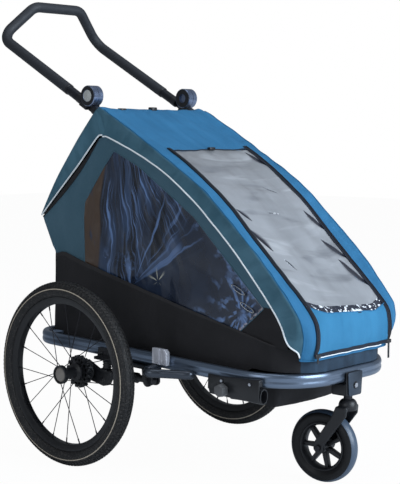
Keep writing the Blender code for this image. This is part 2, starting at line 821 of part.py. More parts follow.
# Hoop: bent tubes, cross tube, hinge halves.
def hoop_route():
    run = Vector(ROOF_DIRECTION)
    foot = Vector(HANDLE_FOOT)
    top = [foot - run * (SOCKET_END + GAP), foot - run * 0.110]
    roof = inset([(y, z) for y, z in ROOF_EDGE[4:-3]], HOOP_INSET)
    nose = [Vector((-0.678, 0.420)), Vector((-0.657, 0.378)), Vector(HOOP_PIVOT) + Vector((-0.0050, 0.0085))]
    return [*top, *roof, *nose]


def hoop_x(height):
    """The tubes draw together at the nose, to stand inside the rounded tub."""
    share = min(max((HOOP_BEND_Z - height) / (HOOP_BEND_Z - HOOP_PIVOT[1]), 0), 1)
    return HOOP_X + (HOOP_FOOT_X - HOOP_X) * share * share * (3 - 2 * share)


def hoop_tubes():
    path = hoop_route()
    for side, sign in SIDES:
        places = [(sign * hoop_x(point[1]), *point) for point in path]
        tube = bar(f"hoop_tube_{side}", places, HOOP_RADIUS, 2)
        low, high = HOOP_FOOT_X - 0.0134, HOOP_FOOT_X + 0.0126
        eye = across(f"hoop_eye_{side}", sign * low, sign * high, HOOP_PIVOT, 0.0132, sides=16)
        bore = across(
            f"hoop_bore_{side}", sign * (low - 0.010), sign * (high + 0.010), HOOP_PIVOT, HOOP_PIN_RADIUS + GAP,
            sides=12,
        )
        join(tube, eye)
        cut(tube, bore)
        carry(tube, HOOP, BLACK_TUBE)


def hoop_cross_tube():
    reach = HOOP_X - HOOP_RADIUS - GAP
    tube = across("hoop_cross_tube", -reach, reach, STRUT_PIVOT, CROSS_TUBE_RADIUS, sides=14)
    carry(tube, HOOP, BLACK_TUBE)


def handle_run():
    return (Vector(HANDLE_BEND) - Vector(HANDLE_FOOT)).normalized()


def half_lap(name, sign, run, inner, outer, seam):
    """One hinge half: a disc, its flat tongue and the full-width stub that takes a tube."""
    lift = Vector((-run.y, run.x)) * (HOOP_RADIUS - GAP)
    foot = Vector(HANDLE_FOOT)
    disc = across(name, sign * inner, sign * outer, HINGE_CENTRE, HINGE_RADIUS, sides=24)
    tip = foot + run * (HALF_LAP + 0.002)
    corners = [foot - lift, tip - lift, tip + lift, foot + lift]
    side_face = HOOP_RADIUS - GAP
    edges = (seam + GAP, HOOP_X + side_face) if outer > seam else (HOOP_X - side_face, seam - GAP)
    tongue = plate(f"{name}_tongue", [tuple(corner) for corner in corners], sign * edges[0], sign * edges[1])
    stub = rod(
        f"{name}_stub", (sign * HOOP_X, *(foot + run * HALF_LAP)),
        (sign * HOOP_X, *(foot + run * SOCKET_END)), HOOP_RADIUS, sides=16,
    )
    return join(disc, tongue, stub)


def hinges():
    for side, sign in SIDES:
        down = -Vector(ROOF_DIRECTION).normalized()
        edge = HINGE_SEAM - GAP
        fixed = half_lap(f"hinge_fixed_{side}", sign, down, HINGE_INNER, edge, edge)
        recess = across(
            f"hinge_recess_{side}", sign * (HINGE_INNER - 0.002), sign * (HINGE_INNER + 0.005), HINGE_CENTRE,
            0.0125, sides=16,
        )
        cut(fixed, recess)
        carry(fixed, HOOP, BLACK_PLASTIC)
        edge = HINGE_SEAM + GAP
        moving = half_lap(f"hinge_moving_{side}", sign, handle_run(), edge, HINGE_OUTER, edge)
        well = across(
            f"button_well_{side}", sign * (HINGE_OUTER - 0.008), sign * (HINGE_OUTER + 0.002), HINGE_CENTRE,
            BUTTON_RADIUS + GAP,
        )
        cut(moving, well)
        carry(moving, HANDLE, BLACK_PLASTIC)
        button = turned(
            f"hinge_button_{side}",
            [(0.0, 0.0063), (0.0110, 0.0056), (BUTTON_RADIUS, 0.0035), (BUTTON_RADIUS, 0.0), (0.0, 0.0)],
            (sign * (HINGE_OUTER - 0.0045), *HINGE_CENTRE), steps=18, outward=sign,
        )
        carry(button, HANDLE, GREY_PLASTIC)


# Push handle.
def handle_route():
    start = Vector(HANDLE_FOOT) + handle_run() * (SOCKET_END + GAP)
    near = [
        (-HOOP_X, *start), (-HOOP_X, *HANDLE_BEND), (-HANDLE_BAR_X, *HANDLE_BAR),
        (HANDLE_BAR_X, *HANDLE_BAR), (HOOP_X, *HANDLE_BEND), (HOOP_X, *start),
    ]
    return filleted(near, 0.047, 3)


def grip_route():
    route = handle_route()
    start = Vector(HANDLE_FOOT) + handle_run() * GRIP_START
    return [Vector((-HOOP_X, *start)), *route[1:-1], Vector((HOOP_X, *start))]


def handle():
    tube = bar("handle_tube", handle_route(), HOOP_RADIUS, 2)
    carry(tube, HANDLE, BLACK_TUBE)
    grip = bar("handle_grip", grip_route(), GRIP_RADIUS, 2)
    run = Vector((0, *handle_run())) * 0.02
    route = grip_route()
    longer = [route[0] - run, *route[1:-1], route[-1] - run]
    bore = bar("grip_bore", longer, HOOP_RADIUS + 2 * GAP, 2)
    cut(grip, bore)
    carry(grip, HANDLE, FOAM)


# Rear frame: lower posts, upper strut and the knee levers between them.
def rear_frame():
    """Two bent posts on a common foot tube, each with an open-ended seat for the knee pin."""
    foot = across("rear_frame", -HOOP_X, HOOP_X, POST_PIVOT, POST_RADIUS, sides=14)
    for side, sign in SIDES:
        post = bar(f"post_{side}", at_x(smooth(POST_PATH, 2), sign * HOOP_X), POST_RADIUS, 2)
        seat = plate(
            f"knee_plate_{side}",
            [*arc(KNEE, 0.0125, -40, 215, 7), (0.2235, 0.632), (0.2290, 0.630)],
            sign * 0.1772, sign * 0.1830,
        )
        join(foot, post, seat)
    for side, sign in SIDES:
        exit_run = Vector((0.26, -0.965)) * 0.030
        slot = plate(
            f"knee_slot_{side}",
            [*arc(KNEE, KNEE_PIN_RADIUS + 0.0006, -15, 195, 6),
             *[tuple(Vector(point) + exit_run) for point in arc(KNEE, KNEE_PIN_RADIUS + 0.0006, 195, 345, 2)]],
            sign * 0.1700, sign * 0.1806,
        )
        cut(foot, slot)
    carry(foot, POSTS, BLACK_TUBE)


def rear_strut():
    """A sleeve round the hoop's cross tube with two legs that reach down to the knee."""
    reach = HOOP_X - HOOP_RADIUS - 0.002
    sleeve = across("rear_strut", -reach, reach, STRUT_PIVOT, 0.0115, sides=12)
    bore = across("strut_bore", -0.2, 0.2, STRUT_PIVOT, CROSS_TUBE_RADIUS + 2 * GAP, sides=14)
    for side, sign in SIDES:
        leg = bar(f"strut_leg_{side}", at_x(smooth(STRUT_PATH, 2), sign * STRUT_X), STRUT_RADIUS, 2)
        pin = across(f"knee_pin_{side}", sign * 0.1640, sign * 0.1800, KNEE, KNEE_PIN_RADIUS, sides=12)
        boss = across(f"knee_boss_{side}", sign * 0.1580, sign * 0.1766, KNEE, 0.0105, sides=12)
        join(sleeve, leg, boss, pin)
    cut(sleeve, bore)
    for side, sign in SIDES:
        cut(sleeve, across(f"lever_bore_{side}", sign * 0.150, sign * 0.1680, KNEE, 0.0035 + GAP, sides=12))
    carry(sleeve, STRUT, BLACK_TUBE)


def knee_levers():
    """Clamp levers that tighten each knee pin in its seat."""
    up = (Vector(STRUT_PATH[2]) - Vector(KNEE)).normalized()
    for side, sign in SIDES:
        knee = pivot(f"knee_{side}", (sign * 0.155, *KNEE), STRUT)
        stem = across(f"knee_lever_{side}", sign * 0.1530, sign * 0.1664, KNEE, 0.0035, sides=12)
        side_step = Vector((-up.y, up.x)) * 0.005
        tip = Vector(KNEE) + up * 0.034
        blade = plate(
            f"lever_blade_{side}",
            [tuple(Vector(KNEE) - side_step * 1.5), tuple(tip - side_step), tuple(tip + side_step),
             tuple(Vector(KNEE) + side_step * 1.5)],
            sign * 0.1500, sign * 0.1550,
        )
        cam = across(f"lever_cam_{side}", sign * 0.1500, sign * 0.1564, KNEE, 0.008, sides=14)
        join(stem, cam, blade)
        carry(stem, knee, STEEL)


# Rear wheels.
def tyre_profile():
    """Section of the inflated tyre, from the outer bead over the crown to the inner bead."""
    half = TYRE_WIDTH / 2
    middle = TYRE_RADIUS - half
    points = [(BEAD_RADIUS, -0.0114), (0.2098, -0.0138)]
    for step in range(6):
        angle = math.radians(-40 + 260 * step / 5)
        points.append((middle + half * math.sin(angle), -half * math.cos(angle)))
    points += [(0.2098, 0.0138), (BEAD_RADIUS, 0.0114)]
    return points[::-1]


def rim_profile():
    half = RIM_WIDTH / 2
    return [
        (0.2092, half), (BEAD_RADIUS - GAP, half - 0.0024), (BEAD_RADIUS - GAP, 0.0024 - half), (0.2092, -half),
        (RIM_INNER, -0.0095), (RIM_INNER, 0.0095),
    ]


def hub_profile():
    """Half section of the hub shell, distance measured outward from the wheel's middle plane."""
    bore = 0.0062
    return [
        (0.0250, 0.0245), (0.0250, 0.0140), (0.0155, 0.0110), (0.0155, -0.0280), (0.0245, -0.0310),
        (0.0245, -0.0345), (0.0200, -0.0360), (0.0200, -0.0410), (0.0360, -0.0410), (0.0360, -0.0550),
        (bore, -0.0550),
        (bore, 0.0140), (0.0205, 0.0140), (0.0205, 0.0245),
    ]


def brake_ring(name, sign, centre_x):
    """Teeth round the brake drum, which a pin can drop between."""
    outline = []
    pitch = 360 / BRAKE_TEETH
    for tooth in range(BRAKE_TEETH):
        start = tooth * pitch + pitch * 0.25
        for radius, share in ((0.0372, 0.0), (0.0445, 0.08), (0.0445, 0.42), (0.0372, 0.50)):
            angle = math.radians(start + share * pitch)
            outline.append((radius * math.cos(angle), WHEEL_Z + radius * math.sin(angle)))
    return plate(name, outline, centre_x - 0.0070, centre_x + 0.0070)


def spoke_ends(index, sign):
    """Hub end and rim end of one spoke. Every other spoke leaves the hub the other way."""
    flange = index % 2
    count = index // 2
    trailing = 1 if count % 2 else -1
    angle = 2 * math.pi * (count + 0.5 * flange) / SPOKES_PER_FLANGE
    hub_angle = angle + trailing * math.radians(42)
    hub_x = (-0.0328 if flange else 0.0145) + trailing * (0.0012 if flange else 0.0008)
    rim_x = 0.003 if not flange else -0.003
    hub_radius = 0.0215 if flange else 0.0205
    rim_radius = RIM_INNER * math.cos(math.pi / WHEEL_STEPS) - GAP
    rim_angle = angle + trailing * math.radians(1.5)
    return wheel_point(sign, hub_x, hub_radius, hub_angle), wheel_point(sign, rim_x, rim_radius, rim_angle)


def wheel_point(sign, offset, radius, angle):
    return (sign * (WHEEL_X + offset), radius * math.cos(angle), WHEEL_Z + radius * math.sin(angle))


def rear_wheels():
    for side, sign in SIDES:
        centre = (sign * WHEEL_X, 0, WHEEL_Z)
        arm = pivot(f"arm_pivot_{side}", (sign * ARM_X, *ARM_PIVOT), ROOT)
        axle = pivot(f"wheel_{side}", centre, arm)
        tyre = turned(f"tyre_{side}", tyre_profile(), centre, True, WHEEL_STEPS, sign)
        carry(tyre, axle, RUBBER)
        rim = turned(f"rim_{side}", rim_profile(), centre, True, WHEEL_STEPS, sign)
        carry(rim, axle, BLACK_TUBE)
        hub = turned(f"hub_{side}", hub_profile(), centre, True, 16, sign)
        teeth = brake_ring(f"brake_teeth_{side}", sign, sign * (WHEEL_X - 0.048))
        cut(teeth, across(f"teeth_bore_{side}", sign * 0.27, sign * 0.31, (0, WHEEL_Z), 0.030, sides=16))
        join(hub, teeth)
        for index in range(2 * SPOKES_PER_FLANGE):
            near, far = spoke_ends(index, sign)
            join(hub, rod(f"spoke_{side}_{index}", near, far, SPOKE_RADIUS, sides=3))
        carry(hub, axle, BLACK_PLASTIC)
        button = turned(
            f"hub_button_{side}",
            [(0.0, 0.0080), (0.0150, 0.0068), (0.0200, 0.0035), (0.0200, 0.0), (0.0, 0.0)],
            (sign * (WHEEL_X + 0.0180), 0, WHEEL_Z), steps=18, outward=sign,
        )
        carry(button, axle, GREY_PLASTIC)
        swing_arm(side, sign, arm)


def swing_arm(side, sign, arm):
    """Trailing arm: pivot eye, ribbed bush, tube, hub plate, conical boss and stub axle."""
    hub = (0, WHEEL_Z)
    body = rod(
        f"swing_arm_{side}", (sign * ARM_X, *ARM_PIVOT), (sign * ARM_X, -0.045, WHEEL_Z), 0.0095, sides=12
    )
    eye = across(f"arm_eye_{side}", sign * 0.2424, sign * 0.2616, ARM_PIVOT, 0.0135, sides=14)
    cheek = plate(
        f"arm_cheek_{side}",
        [(-0.092, 0.2568), (-0.045, 0.2585), (0.000, 0.2790), (0.026, 0.2720), (0.036, 0.2500),
         (0.022, 0.2270), (-0.015, 0.2230), (-0.064, 0.2135), (-0.084, 0.2180), (-0.096, 0.2400)],
        sign * 0.2510, sign * 0.2630,
    )
    cone = across(f"arm_cone_{side}", sign * 0.2600, sign * 0.2815, hub, 0.0300, 0.0230, sides=16)
    stub = across(f"stub_axle_{side}", sign * 0.2700, sign * 0.3515, hub, 0.0059, sides=12)
    bolt = across(f"arm_bolt_{side}", sign * 0.2620, sign * 0.2680, (-0.065, 0.2290), 0.0065, sides=6)
    ribs = [
        rod(f"arm_rib_{side}_{count}", (sign * ARM_X, -0.152 - 0.0095 * count, WHEEL_Z),
            (sign * ARM_X, -0.158 - 0.0095 * count, WHEEL_Z), 0.0145, sides=10)
        for count in range(4)
    ]
    saddle = box(f"arm_saddle_{side}", (min(sign * 0.240, sign * 0.266), -0.077, 0.2560),
                 (max(sign * 0.240, sign * 0.266), -0.047, 0.2600))
    join(body, eye, *ribs, cheek, saddle, cone, stub, bolt)
    bore = across(f"arm_bore_{side}", sign * 0.235, sign * 0.270, ARM_PIVOT, 0.0050 + GAP, sides=12)
    guide = across(f"pin_guide_{side}", sign * 0.245, sign * 0.290, brake_pin_place(), 0.0032 + GAP, sides=12)
    cut(body, bore, guide)
    carry(body, arm, BLACK_PLASTIC)
    pin = across(f"brake_pin_{side}", sign * 0.2500, sign * 0.2815, brake_pin_place(), 0.0032, sides=12)
    carry(pin, arm, STEEL)


def brake_pin_place():
    """The pin stands in line with a gap between two teeth."""
    return (0.0415, WHEEL_Z)


def suspension():
    """Rail bracket with the arm's pivot cheeks, and the rubber spring under its shelf."""
    for side, sign in SIDES:
        low_x, high_x = sorted((sign * 0.2330, sign * 0.2670))
        place = level_point(*ARM_PIVOT)
        shelf = box(f"suspension_bracket_{side}", (low_x, -0.2505, 0.2862), (high_x, -0.034, RAIL_BOTTOM - GAP))
        for count, x in enumerate((0.2352, 0.2652)):
            cheek = plate(
                f"pivot_cheek_{side}_{count}",
                [(place[0] + 0.020, 0.2880), (-0.2500, 0.2880), *arc(place, 0.0155, 200, 350, 6)],
                sign * (x - 0.0030), sign * (x + 0.0030),
            )
            join(shelf, cheek)
        flange = plate(
            f"rail_flange_{side}", [(-0.098, 0.2880), (-0.034, 0.2880), (-0.038, 0.3180), (-0.092, 0.3180)],
            sign * 0.2504, sign * 0.2550,
        )
        join(shelf, flange)
        for count, y in enumerate((-0.052, -0.082)):
            name = f"flange_bolt_{side}_{count}"
            join(shelf, across(name, sign * 0.2540, sign * 0.2590, (y, 0.3040), 0.0055, sides=6))
        join(shelf, across(f"arm_pin_{side}", sign * 0.2340, sign * 0.2700, place, 0.0050, sides=12))
        carry(shelf, BODY, BLACK_PLASTIC)
        elastomer(side, sign)


def elastomer(side, sign):
    """A waisted rubber spring that stands between the arm's saddle and the shelf."""
    y, top = level_point(ELASTOMER_Y, 0.0)[0], 0.2862 - GAP
    foot = level_point(ELASTOMER_Y, 0.2606)[1] + 0.0008
    half = (top - foot) / 2
    profile = [(0.0, half), (0.0100, half)]
    for step in range(1, 6):
        profile.append((0.0130 if step % 2 else 0.0105, half * (1 - step / 3)))
    profile += [(0.0100, -half), (0.0, -half)]
    spring = turned(f"elastomer_{side}", profile, (0, 0, 0), steps=12)
    spring.matrix_basis = Matrix.Translation((sign * 0.253, y, (top + foot) / 2))
    carry(spring, BODY, RUBBER)


def level_point(y, z):
    """A point of the upright frame as the tilted body frame sees it."""
    cosine, sine = math.cos(BODY_TILT), math.sin(BODY_TILT)
    return (cosine * y + sine * (z - TILT_Z), TILT_Z - sine * y + cosine * (z - TILT_Z))


# Foot brake.
def brake_pedal():
    hinge = pivot("pedal_pivot", (0, 0.250, 0.281), BODY)
    tread = box("brake_pedal", (-0.034, 0.2585, 0.2680), (0.034, 0.3020, 0.2740), 0.0020, 1)
    arm = plate(
        "pedal_web", [(0.2440, 0.2850), (0.2440, 0.2770), (0.2620, 0.2690), (0.2700, 0.2730), (0.2560, 0.2870)],
        -0.0340, 0.0340,
    )
    ribs = [
        box(f"pedal_rib_{count}", (-0.028, y, 0.2730), (0.028, y + 0.004, 0.2755))
        for count, y in enumerate((0.266, 0.275, 0.284, 0.293))
    ]
    join(tread, arm, *ribs)
    cut(tread, *[across(f"pedal_bore_{side}", sign * 0.0280, sign * 0.0400, (0.250, 0.281), 0.0033, sides=12)
                 for side, sign in SIDES])
    carry(tread, hinge, BLACK_PLASTIC)


# Front caster.
def caster_bracket():
    plate_front = box("caster_bracket", (-0.031, -0.7045, 0.2370), (0.031, -0.7000, 0.2980), 0.002, 1)
    block = box("caster_block", (-0.031, -0.7005, 0.2370), (0.031, -0.6550, 0.2680), 0.003, 1)
    bolt = rod("bracket_bolt", (0.003, -0.7040, 0.262), (0.003, -0.7075, 0.262), 0.0065, sides=6)
    bore = rod("stem_bore", (0, STEM_Y, 0.230), (0, STEM_Y, 0.2635), 0.0060 + GAP, sides=20)
    join(plate_front, block, bolt)
    cut(plate_front, bore)
    carry(plate_front, ROOT, BLACK_PLASTIC)


def caster():
    swivel = pivot("caster_swivel", (0, STEM_Y, 0.2370), ROOT)
    spin = pivot("caster_axle_line", (0, CASTER_Y, CASTER_RADIUS), swivel)
    to_stem = Matrix.Translation((0, STEM_Y, 0))
    steer = to_stem @ Matrix.Rotation(CASTER_STEER, 4, "Z") @ to_stem.inverted()
    axle_at = (CASTER_Y, CASTER_RADIUS)
    pieces = [
        (caster_fork(axle_at), swivel, BLACK_PLASTIC), (caster_axle(axle_at), swivel, STEEL),
        (caster_tyre(axle_at), spin, RUBBER), (caster_rim(axle_at), spin, BLACK_PLASTIC),
    ]
    for obj, empty, surface in pieces:
        turn_about_stem(obj, steer)
        carry(obj, empty, surface)


def turn_about_stem(obj, steer):
    obj.matrix_basis = steer @ obj.matrix_basis
    for helper in HELPERS.get(obj.name, ()):
        turn_about_stem(helper, steer)


def caster_fork(axle_at):
    y, z = axle_at
    crown = rod("caster_fork", (0, STEM_Y, 0.2010), (0, STEM_Y, 0.2220), 0.0210, 0.0175, sides=16)
    bridge = box("fork_bridge", (-0.0335, STEM_Y - 0.014, 0.1975), (0.0335, STEM_Y + 0.020, 0.2090), 0.003, 1)
    neck = rod("fork_neck", (0, STEM_Y, 0.2200), (0, STEM_Y, 0.2367), 0.0080, sides=16)
    stem = rod("fork_stem", (0, STEM_Y, 0.2360), (0, STEM_Y, 0.2600), 0.0060, sides=16)
    join(crown, bridge, neck, stem)
    for side, sign in SIDES:
        leg = plate(
            f"fork_leg_{side}",
            [(STEM_Y - 0.014, 0.2070), (STEM_Y - 0.012, 0.1850), (y - 0.016, z + 0.006),
             *arc((y, z), 0.0150, 200, 350, 6), (y + 0.013, z + 0.014), (STEM_Y + 0.030, 0.1820),
             (STEM_Y + 0.019, 0.2070)],
            sign * 0.0262, sign * 0.0332,
        )
        join(crown, leg)
    cut(crown, across("axle_bore", -0.05, 0.05, axle_at, 0.0050 + GAP, sides=12))
    return crown


def caster_axle(axle_at):
    axle = across("caster_axle", -0.0375, 0.0375, axle_at, 0.0050, sides=12)
    for side, sign in SIDES:
        join(axle, across(f"axle_nut_{side}", sign * 0.0336, sign * 0.0385, axle_at, 0.0085, sides=6))
    return axle


def caster_tyre(axle_at):
    half = CASTER_WIDTH / 2
    profile = [(0.0640, 0.0150)]
    for step in range(7):
        angle = math.radians(-20 + 220 * step / 6)
        profile.append((CASTER_RADIUS - 0.0170 + 0.0170 * math.sin(angle), half * math.cos(angle)))
    profile.append((0.0640, -0.0150))
    return turned("caster_tyre", profile, (0, *axle_at), True, 24)


def caster_rim(axle_at):
    """Rim ring, hub and seven spokes in one moulding."""
    ring = turned(
        "caster_rim",
        [(0.0637, 0.0160), (0.0637, -0.0160), (0.0600, -0.0170), (0.0560, -0.0120), (0.0560, 0.0120),
         (0.0600, 0.0170)],
        (0, *axle_at), True, 24,
    )
    hub = across("caster_hub", -0.0245, 0.0245, axle_at, 0.0150, sides=16)
    join(ring, hub)
    for count in range(7):
        angle = 2 * math.pi * count / 7 + 0.2
        run = Vector((math.cos(angle), math.sin(angle)))
        side = Vector((-run.y, run.x))
        centre = Vector(axle_at)
        corners = [centre + run * 0.011 - side * 0.0060, centre + run * 0.0585 - side * 0.0045,
                   centre + run * 0.0585 + side * 0.0045, centre + run * 0.011 + side * 0.0060]
        join(ring, plate(f"caster_spoke_{count}", [tuple(corner) for corner in corners], -0.0085, 0.0085))
    cut(ring, across("rim_bore", -0.05, 0.05, axle_at, 0.0050 + GAP, sides=12))
    return ring


# Rail fittings: drawbar socket with its plunger, wheel deflectors and reflectors.
def oval(half_width, half_height, steps=4):
    """A slot-shaped outline in the front view, centred on nothing."""
    straight = half_height - half_width
    return [
        *arc((0, straight), half_width, 0, 180, steps), *arc((0, -straight), half_width, 180, 360, steps)
    ]


def front_view_plate(name, outline, y_low, y_high, centre):
    """An outline of (x, z) points extruded along Y."""
    curve = bpy.data.curves.new(name, "CURVE")
    curve.dimensions = "2D"
    curve.fill_mode = "BOTH"
    curve.extrude = abs(y_high - y_low) / 2
    trace(curve, outline, True)
    obj = bpy.data.objects.new(name, curve)
    PARTS.objects.link(obj)
    middle = (y_low + y_high) / 2
    obj.matrix_basis = Matrix(((1, 0, 0, centre[0]), (0, 0, -1, middle), (0, 1, 0, centre[1]), (0, 0, 0, 1)))
    return as_mesh(obj)


def drawbar_socket():
    half = (SOCKET_SIZE[0] / 2, SOCKET_SIZE[1] / 2)
    centre = (SOCKET_X, SOCKET_Z)
    socket = front_view_plate("drawbar_socket", oval(*half), SOCKET_FRONT, SOCKET_REAR, centre)
    inner = oval(half[0] - SOCKET_WALL, half[1] - SOCKET_WALL)
    bore = front_view_plate("drawbar_bore", inner, SOCKET_FRONT - 0.01, SOCKET_REAR - 0.004, centre)
    flange = plate(
        "socket_flange",
        [(-0.437, 0.2700), (-0.437, 0.3080), (-0.560, 0.3080), (-0.572, 0.2900), (-0.572, 0.2700)],
        -0.2503, -0.2535,
    )
    bolts = [
        across(f"socket_bolt_{count}", -0.2530, -0.2570, (y, 0.3010), 0.0050, sides=6)
        for count, y in enumerate((-0.469, -0.548))
    ]
    collar = across("plunger_collar", -0.2480, -0.2590, (PLUNGER_Y, PLUNGER_Z), 0.0150, sides=16)
    join(socket, flange, collar, *bolts)
    guide = across("plunger_guide", -0.2400, -0.2700, (PLUNGER_Y, PLUNGER_Z), 0.0040 + GAP, sides=16)
    cut(socket, bore, guide)
    carry(socket, BODY, BLACK_PLASTIC)
    slide = pivot("plunger_line", (-0.2590, PLUNGER_Y, PLUNGER_Z), BODY)
    knob = across("drawbar_plunger", -0.2593, -0.2790, (PLUNGER_Y, PLUNGER_Z), 0.0180, 0.0160, sides=6)
    pin = across("plunger_pin", -0.2395, -0.2600, (PLUNGER_Y, PLUNGER_Z), 0.0040, sides=16)
    join(knob, pin)
    carry(knob, slide, GREY_PLASTIC)


DEFLECTOR_Z = 0.2950
DEFLECTOR_ROUTE = (
    (0.2604, -0.372), (0.276, -0.350), (0.300, -0.318), (0.318, -0.290), (0.300, -0.268), (0.2604, -0.262),
)


def deflectors():
    for side, sign in SIDES:
        route = [(sign * x, y, DEFLECTOR_Z) for x, y in DEFLECTOR_ROUTE]
        guard = bar(f"wheel_deflector_{side}", smooth(route, 1), 0.0100, 2)
        for count, (x, y) in enumerate((DEFLECTOR_ROUTE[0], DEFLECTOR_ROUTE[-1])):
            foot = across(
                f"deflector_foot_{side}_{count}", sign * (RAIL_HALF_WIDTH + GAP), sign * (x + 0.004),
                (y, DEFLECTOR_Z), 0.0104, 0.0098, sides=12,
            )
            join(guard, foot)
        carry(guard, BODY, ANTHRACITE)


def side_reflectors():
    """A faceted block that grips the rail's outer flank, with one upright groove."""
    for side, sign in SIDES:
        outline = [
            (-0.2480, 0.3062), (-0.2480, 0.3480), (-0.2940, 0.3480), (-0.3020, 0.3400), (-0.3020, 0.3062),
        ]
        block = plate(f"side_reflector_{side}", outline, sign * (RAIL_HALF_WIDTH + GAP), sign * 0.2640)
        soften(block, 0.0020, 1)
        low_x, high_x = sorted((sign * 0.2620, sign * 0.2700))
        groove = box(f"reflector_groove_{side}", (low_x, -0.2800, 0.2950), (high_x, -0.2760, 0.3600))
        cut(block, groove)
        carry(block, BODY, REFLECTOR)


# Seat, seat back and harness.
def pad(name, half_width, length, thickness, channels):
    """A sewn cushion: crowned face, drawn-in sides and sunk channels across it."""
    columns, rows = 9, 2 * channels + 7

    def place(i, j):
        u, v = 2 * i / (columns - 1) - 1, 2 * j / (rows - 1) - 1
        pull = 1 - 0.030 * (1 - v * v) * abs(u) ** 3
        squeeze = 1 - 0.020 * (1 - u * u) * abs(v) ** 3
        crown = (1 - u ** 4) * (1 - v ** 4)
        channel = 0.5 + 0.5 * math.cos(math.pi * (v + 1) * (channels + 1))
        lift = thickness * (0.45 + 0.55 * crown) - 0.004 * channel * crown
        return (half_width * u * pull, length / 2 * v * squeeze, lift)

    bm = bmesh.new()
    bmesh.ops.create_grid(bm, x_segments=columns - 1, y_segments=rows - 1, size=0.5)
    for vert in bm.verts:
        column = round((vert.co.x + 0.5) * (columns - 1))
        row = round((vert.co.y + 0.5) * (rows - 1))
        vert.co = place(column, row)
    rim = [edge for edge in bm.edges if edge.is_boundary]
    grown = bmesh.ops.extrude_edge_only(bm, edges=rim)
    skirt = [item for item in grown["geom"] if isinstance(item, bmesh.types.BMVert)]
    for vert in skirt:
        vert.co = Vector((vert.co.x * 0.985, vert.co.y * 0.985, 0.0))
    foot = [item for item in grown["geom"] if isinstance(item, bmesh.types.BMEdge) and item.is_boundary]
    bmesh.ops.contextual_create(bm, geom=foot)
    bmesh.ops.recalc_face_normals(bm, faces=bm.faces)
    obj = mesh_object(name, bm)
    obj.data.shade_smooth()
    return obj


def seat_cushion():
    cushion = pad("seat_cushion", 0.146, 0.330, 0.0280, 4)
    cushion.matrix_basis = Matrix.Translation((0, -0.130, FLOOR_TOP + GAP))
    carry(cushion, BODY, SEAT_FABRIC)


def seat_frame_to_body(lift):
    """Turns a piece drawn flat into the reclined seat back, its foot on the pivot line."""
    turn = Matrix.Rotation(SEAT_RECLINE, 4, "X")
    return Matrix.Translation((0, *SEAT_PIVOT)) @ turn @ Matrix.Translation((0, 0, lift))


def seat_back():
    """Stiff board on two end pins, a sewn pad on its face and a five-strap harness."""
    half = 0.1465
    board = box("seat_back_board", (-half, 0.0060, -0.0020), (half, SEAT_LENGTH, 0.0020), 0.0015, 1)
    for side, sign in SIDES:
        knuckle = rod(f"seat_knuckle_{side}", (sign * 0.1260, 0, 0), (sign * 0.1515, 0, 0), 0.0095, sides=12)
        join(board, knuckle)
    for side, sign in SIDES:
        ends = (sign * 0.1400, 0, 0), (sign * 0.1600, 0, 0)
        cut(board, rod(f"knuckle_bore_{side}", *ends, 0.0040 + GAP, sides=12))
    for obj in (board, *HELPERS[board.name]):
        obj.matrix_basis = seat_frame_to_body(0) @ obj.matrix_basis
    carry(board, SEAT, BLACK_PLASTIC)
    cushion = pad("seat_back_cushion", 0.143, SEAT_LENGTH - 0.034, 0.0260, 5)
    face = seat_frame_to_body(0.0023) @ Matrix.Translation((0, SEAT_LENGTH / 2 + 0.016, 0))
    cushion.matrix_basis = face
    carry(cushion, SEAT, SEAT_FABRIC)
    harness()


def harness():
    """Shoulder straps that meet at a buckle, with the crotch strap below it."""
    low, high = 0.0290, 0.0312
    middle = Vector((0.0, 0.130))
    webbing = strap("harness", middle, Vector((0.0, 0.040)), 0.0125, low, high)
    for side, sign in SIDES:
        shoulder = strap(f"shoulder_strap_{side}", middle, Vector((sign * 0.060, 0.330)), 0.0125, low, high)
        hip = strap(f"hip_strap_{side}", middle, Vector((sign * 0.120, 0.090)), 0.0125, low, high)
        join(webbing, shoulder, hip)
    for obj in (webbing, *HELPERS[webbing.name]):
        obj.matrix_basis = seat_frame_to_body(0) @ obj.matrix_basis
    carry(webbing, SEAT, BLACK_FABRIC)
    buckle = box("harness_buckle", (-0.022, 0.104, high + GAP), (0.022, 0.156, 0.0410), 0.003, 2)
    well = rod("buckle_well", (0, 0.130, 0.0360), (0, 0.130, 0.0450), 0.0090 + GAP, sides=20)
    cut(buckle, well)
    for obj in (buckle, *HELPERS[buckle.name]):
        obj.matrix_basis = seat_frame_to_body(0) @ obj.matrix_basis
    carry(buckle, SEAT, BLACK_PLASTIC)


def strap(name, start, end, half_width, low, high):
    """A flat ribbon between two points of the seat back's face."""
    run = (end - start).normalized()
    side = Vector((-run.y, run.x)) * half_width
    corners = [start - side, end - side, end + side, start + side]
    curve = bpy.data.curves.new(name, "CURVE")
    curve.dimensions = "2D"
    curve.fill_mode = "BOTH"
    curve.extrude = (high - low) / 2
    trace(curve, [tuple(corner) for corner in corners], True)
    obj = bpy.data.objects.new(name, curve)
    PARTS.objects.link(obj)
    obj.matrix_basis = Matrix.Translation((0, 0, (low + high) / 2))
    return as_mesh(obj)


base_ring()
floor_pan()
rear_cross_tube()
tub_walls()
rear_panel()
side_panels()
side_windows()
canopy()
front_window()
rear_cover()
hoop_tubes()
hoop_cross_tube()
hinges()
handle()
rear_frame()
rear_strut()
knee_levers()
rear_wheels()
suspension()
brake_pedal()
caster_bracket()
caster()
drawbar_socket()
deflectors()
side_reflectors()
seat_cushion()
seat_back()
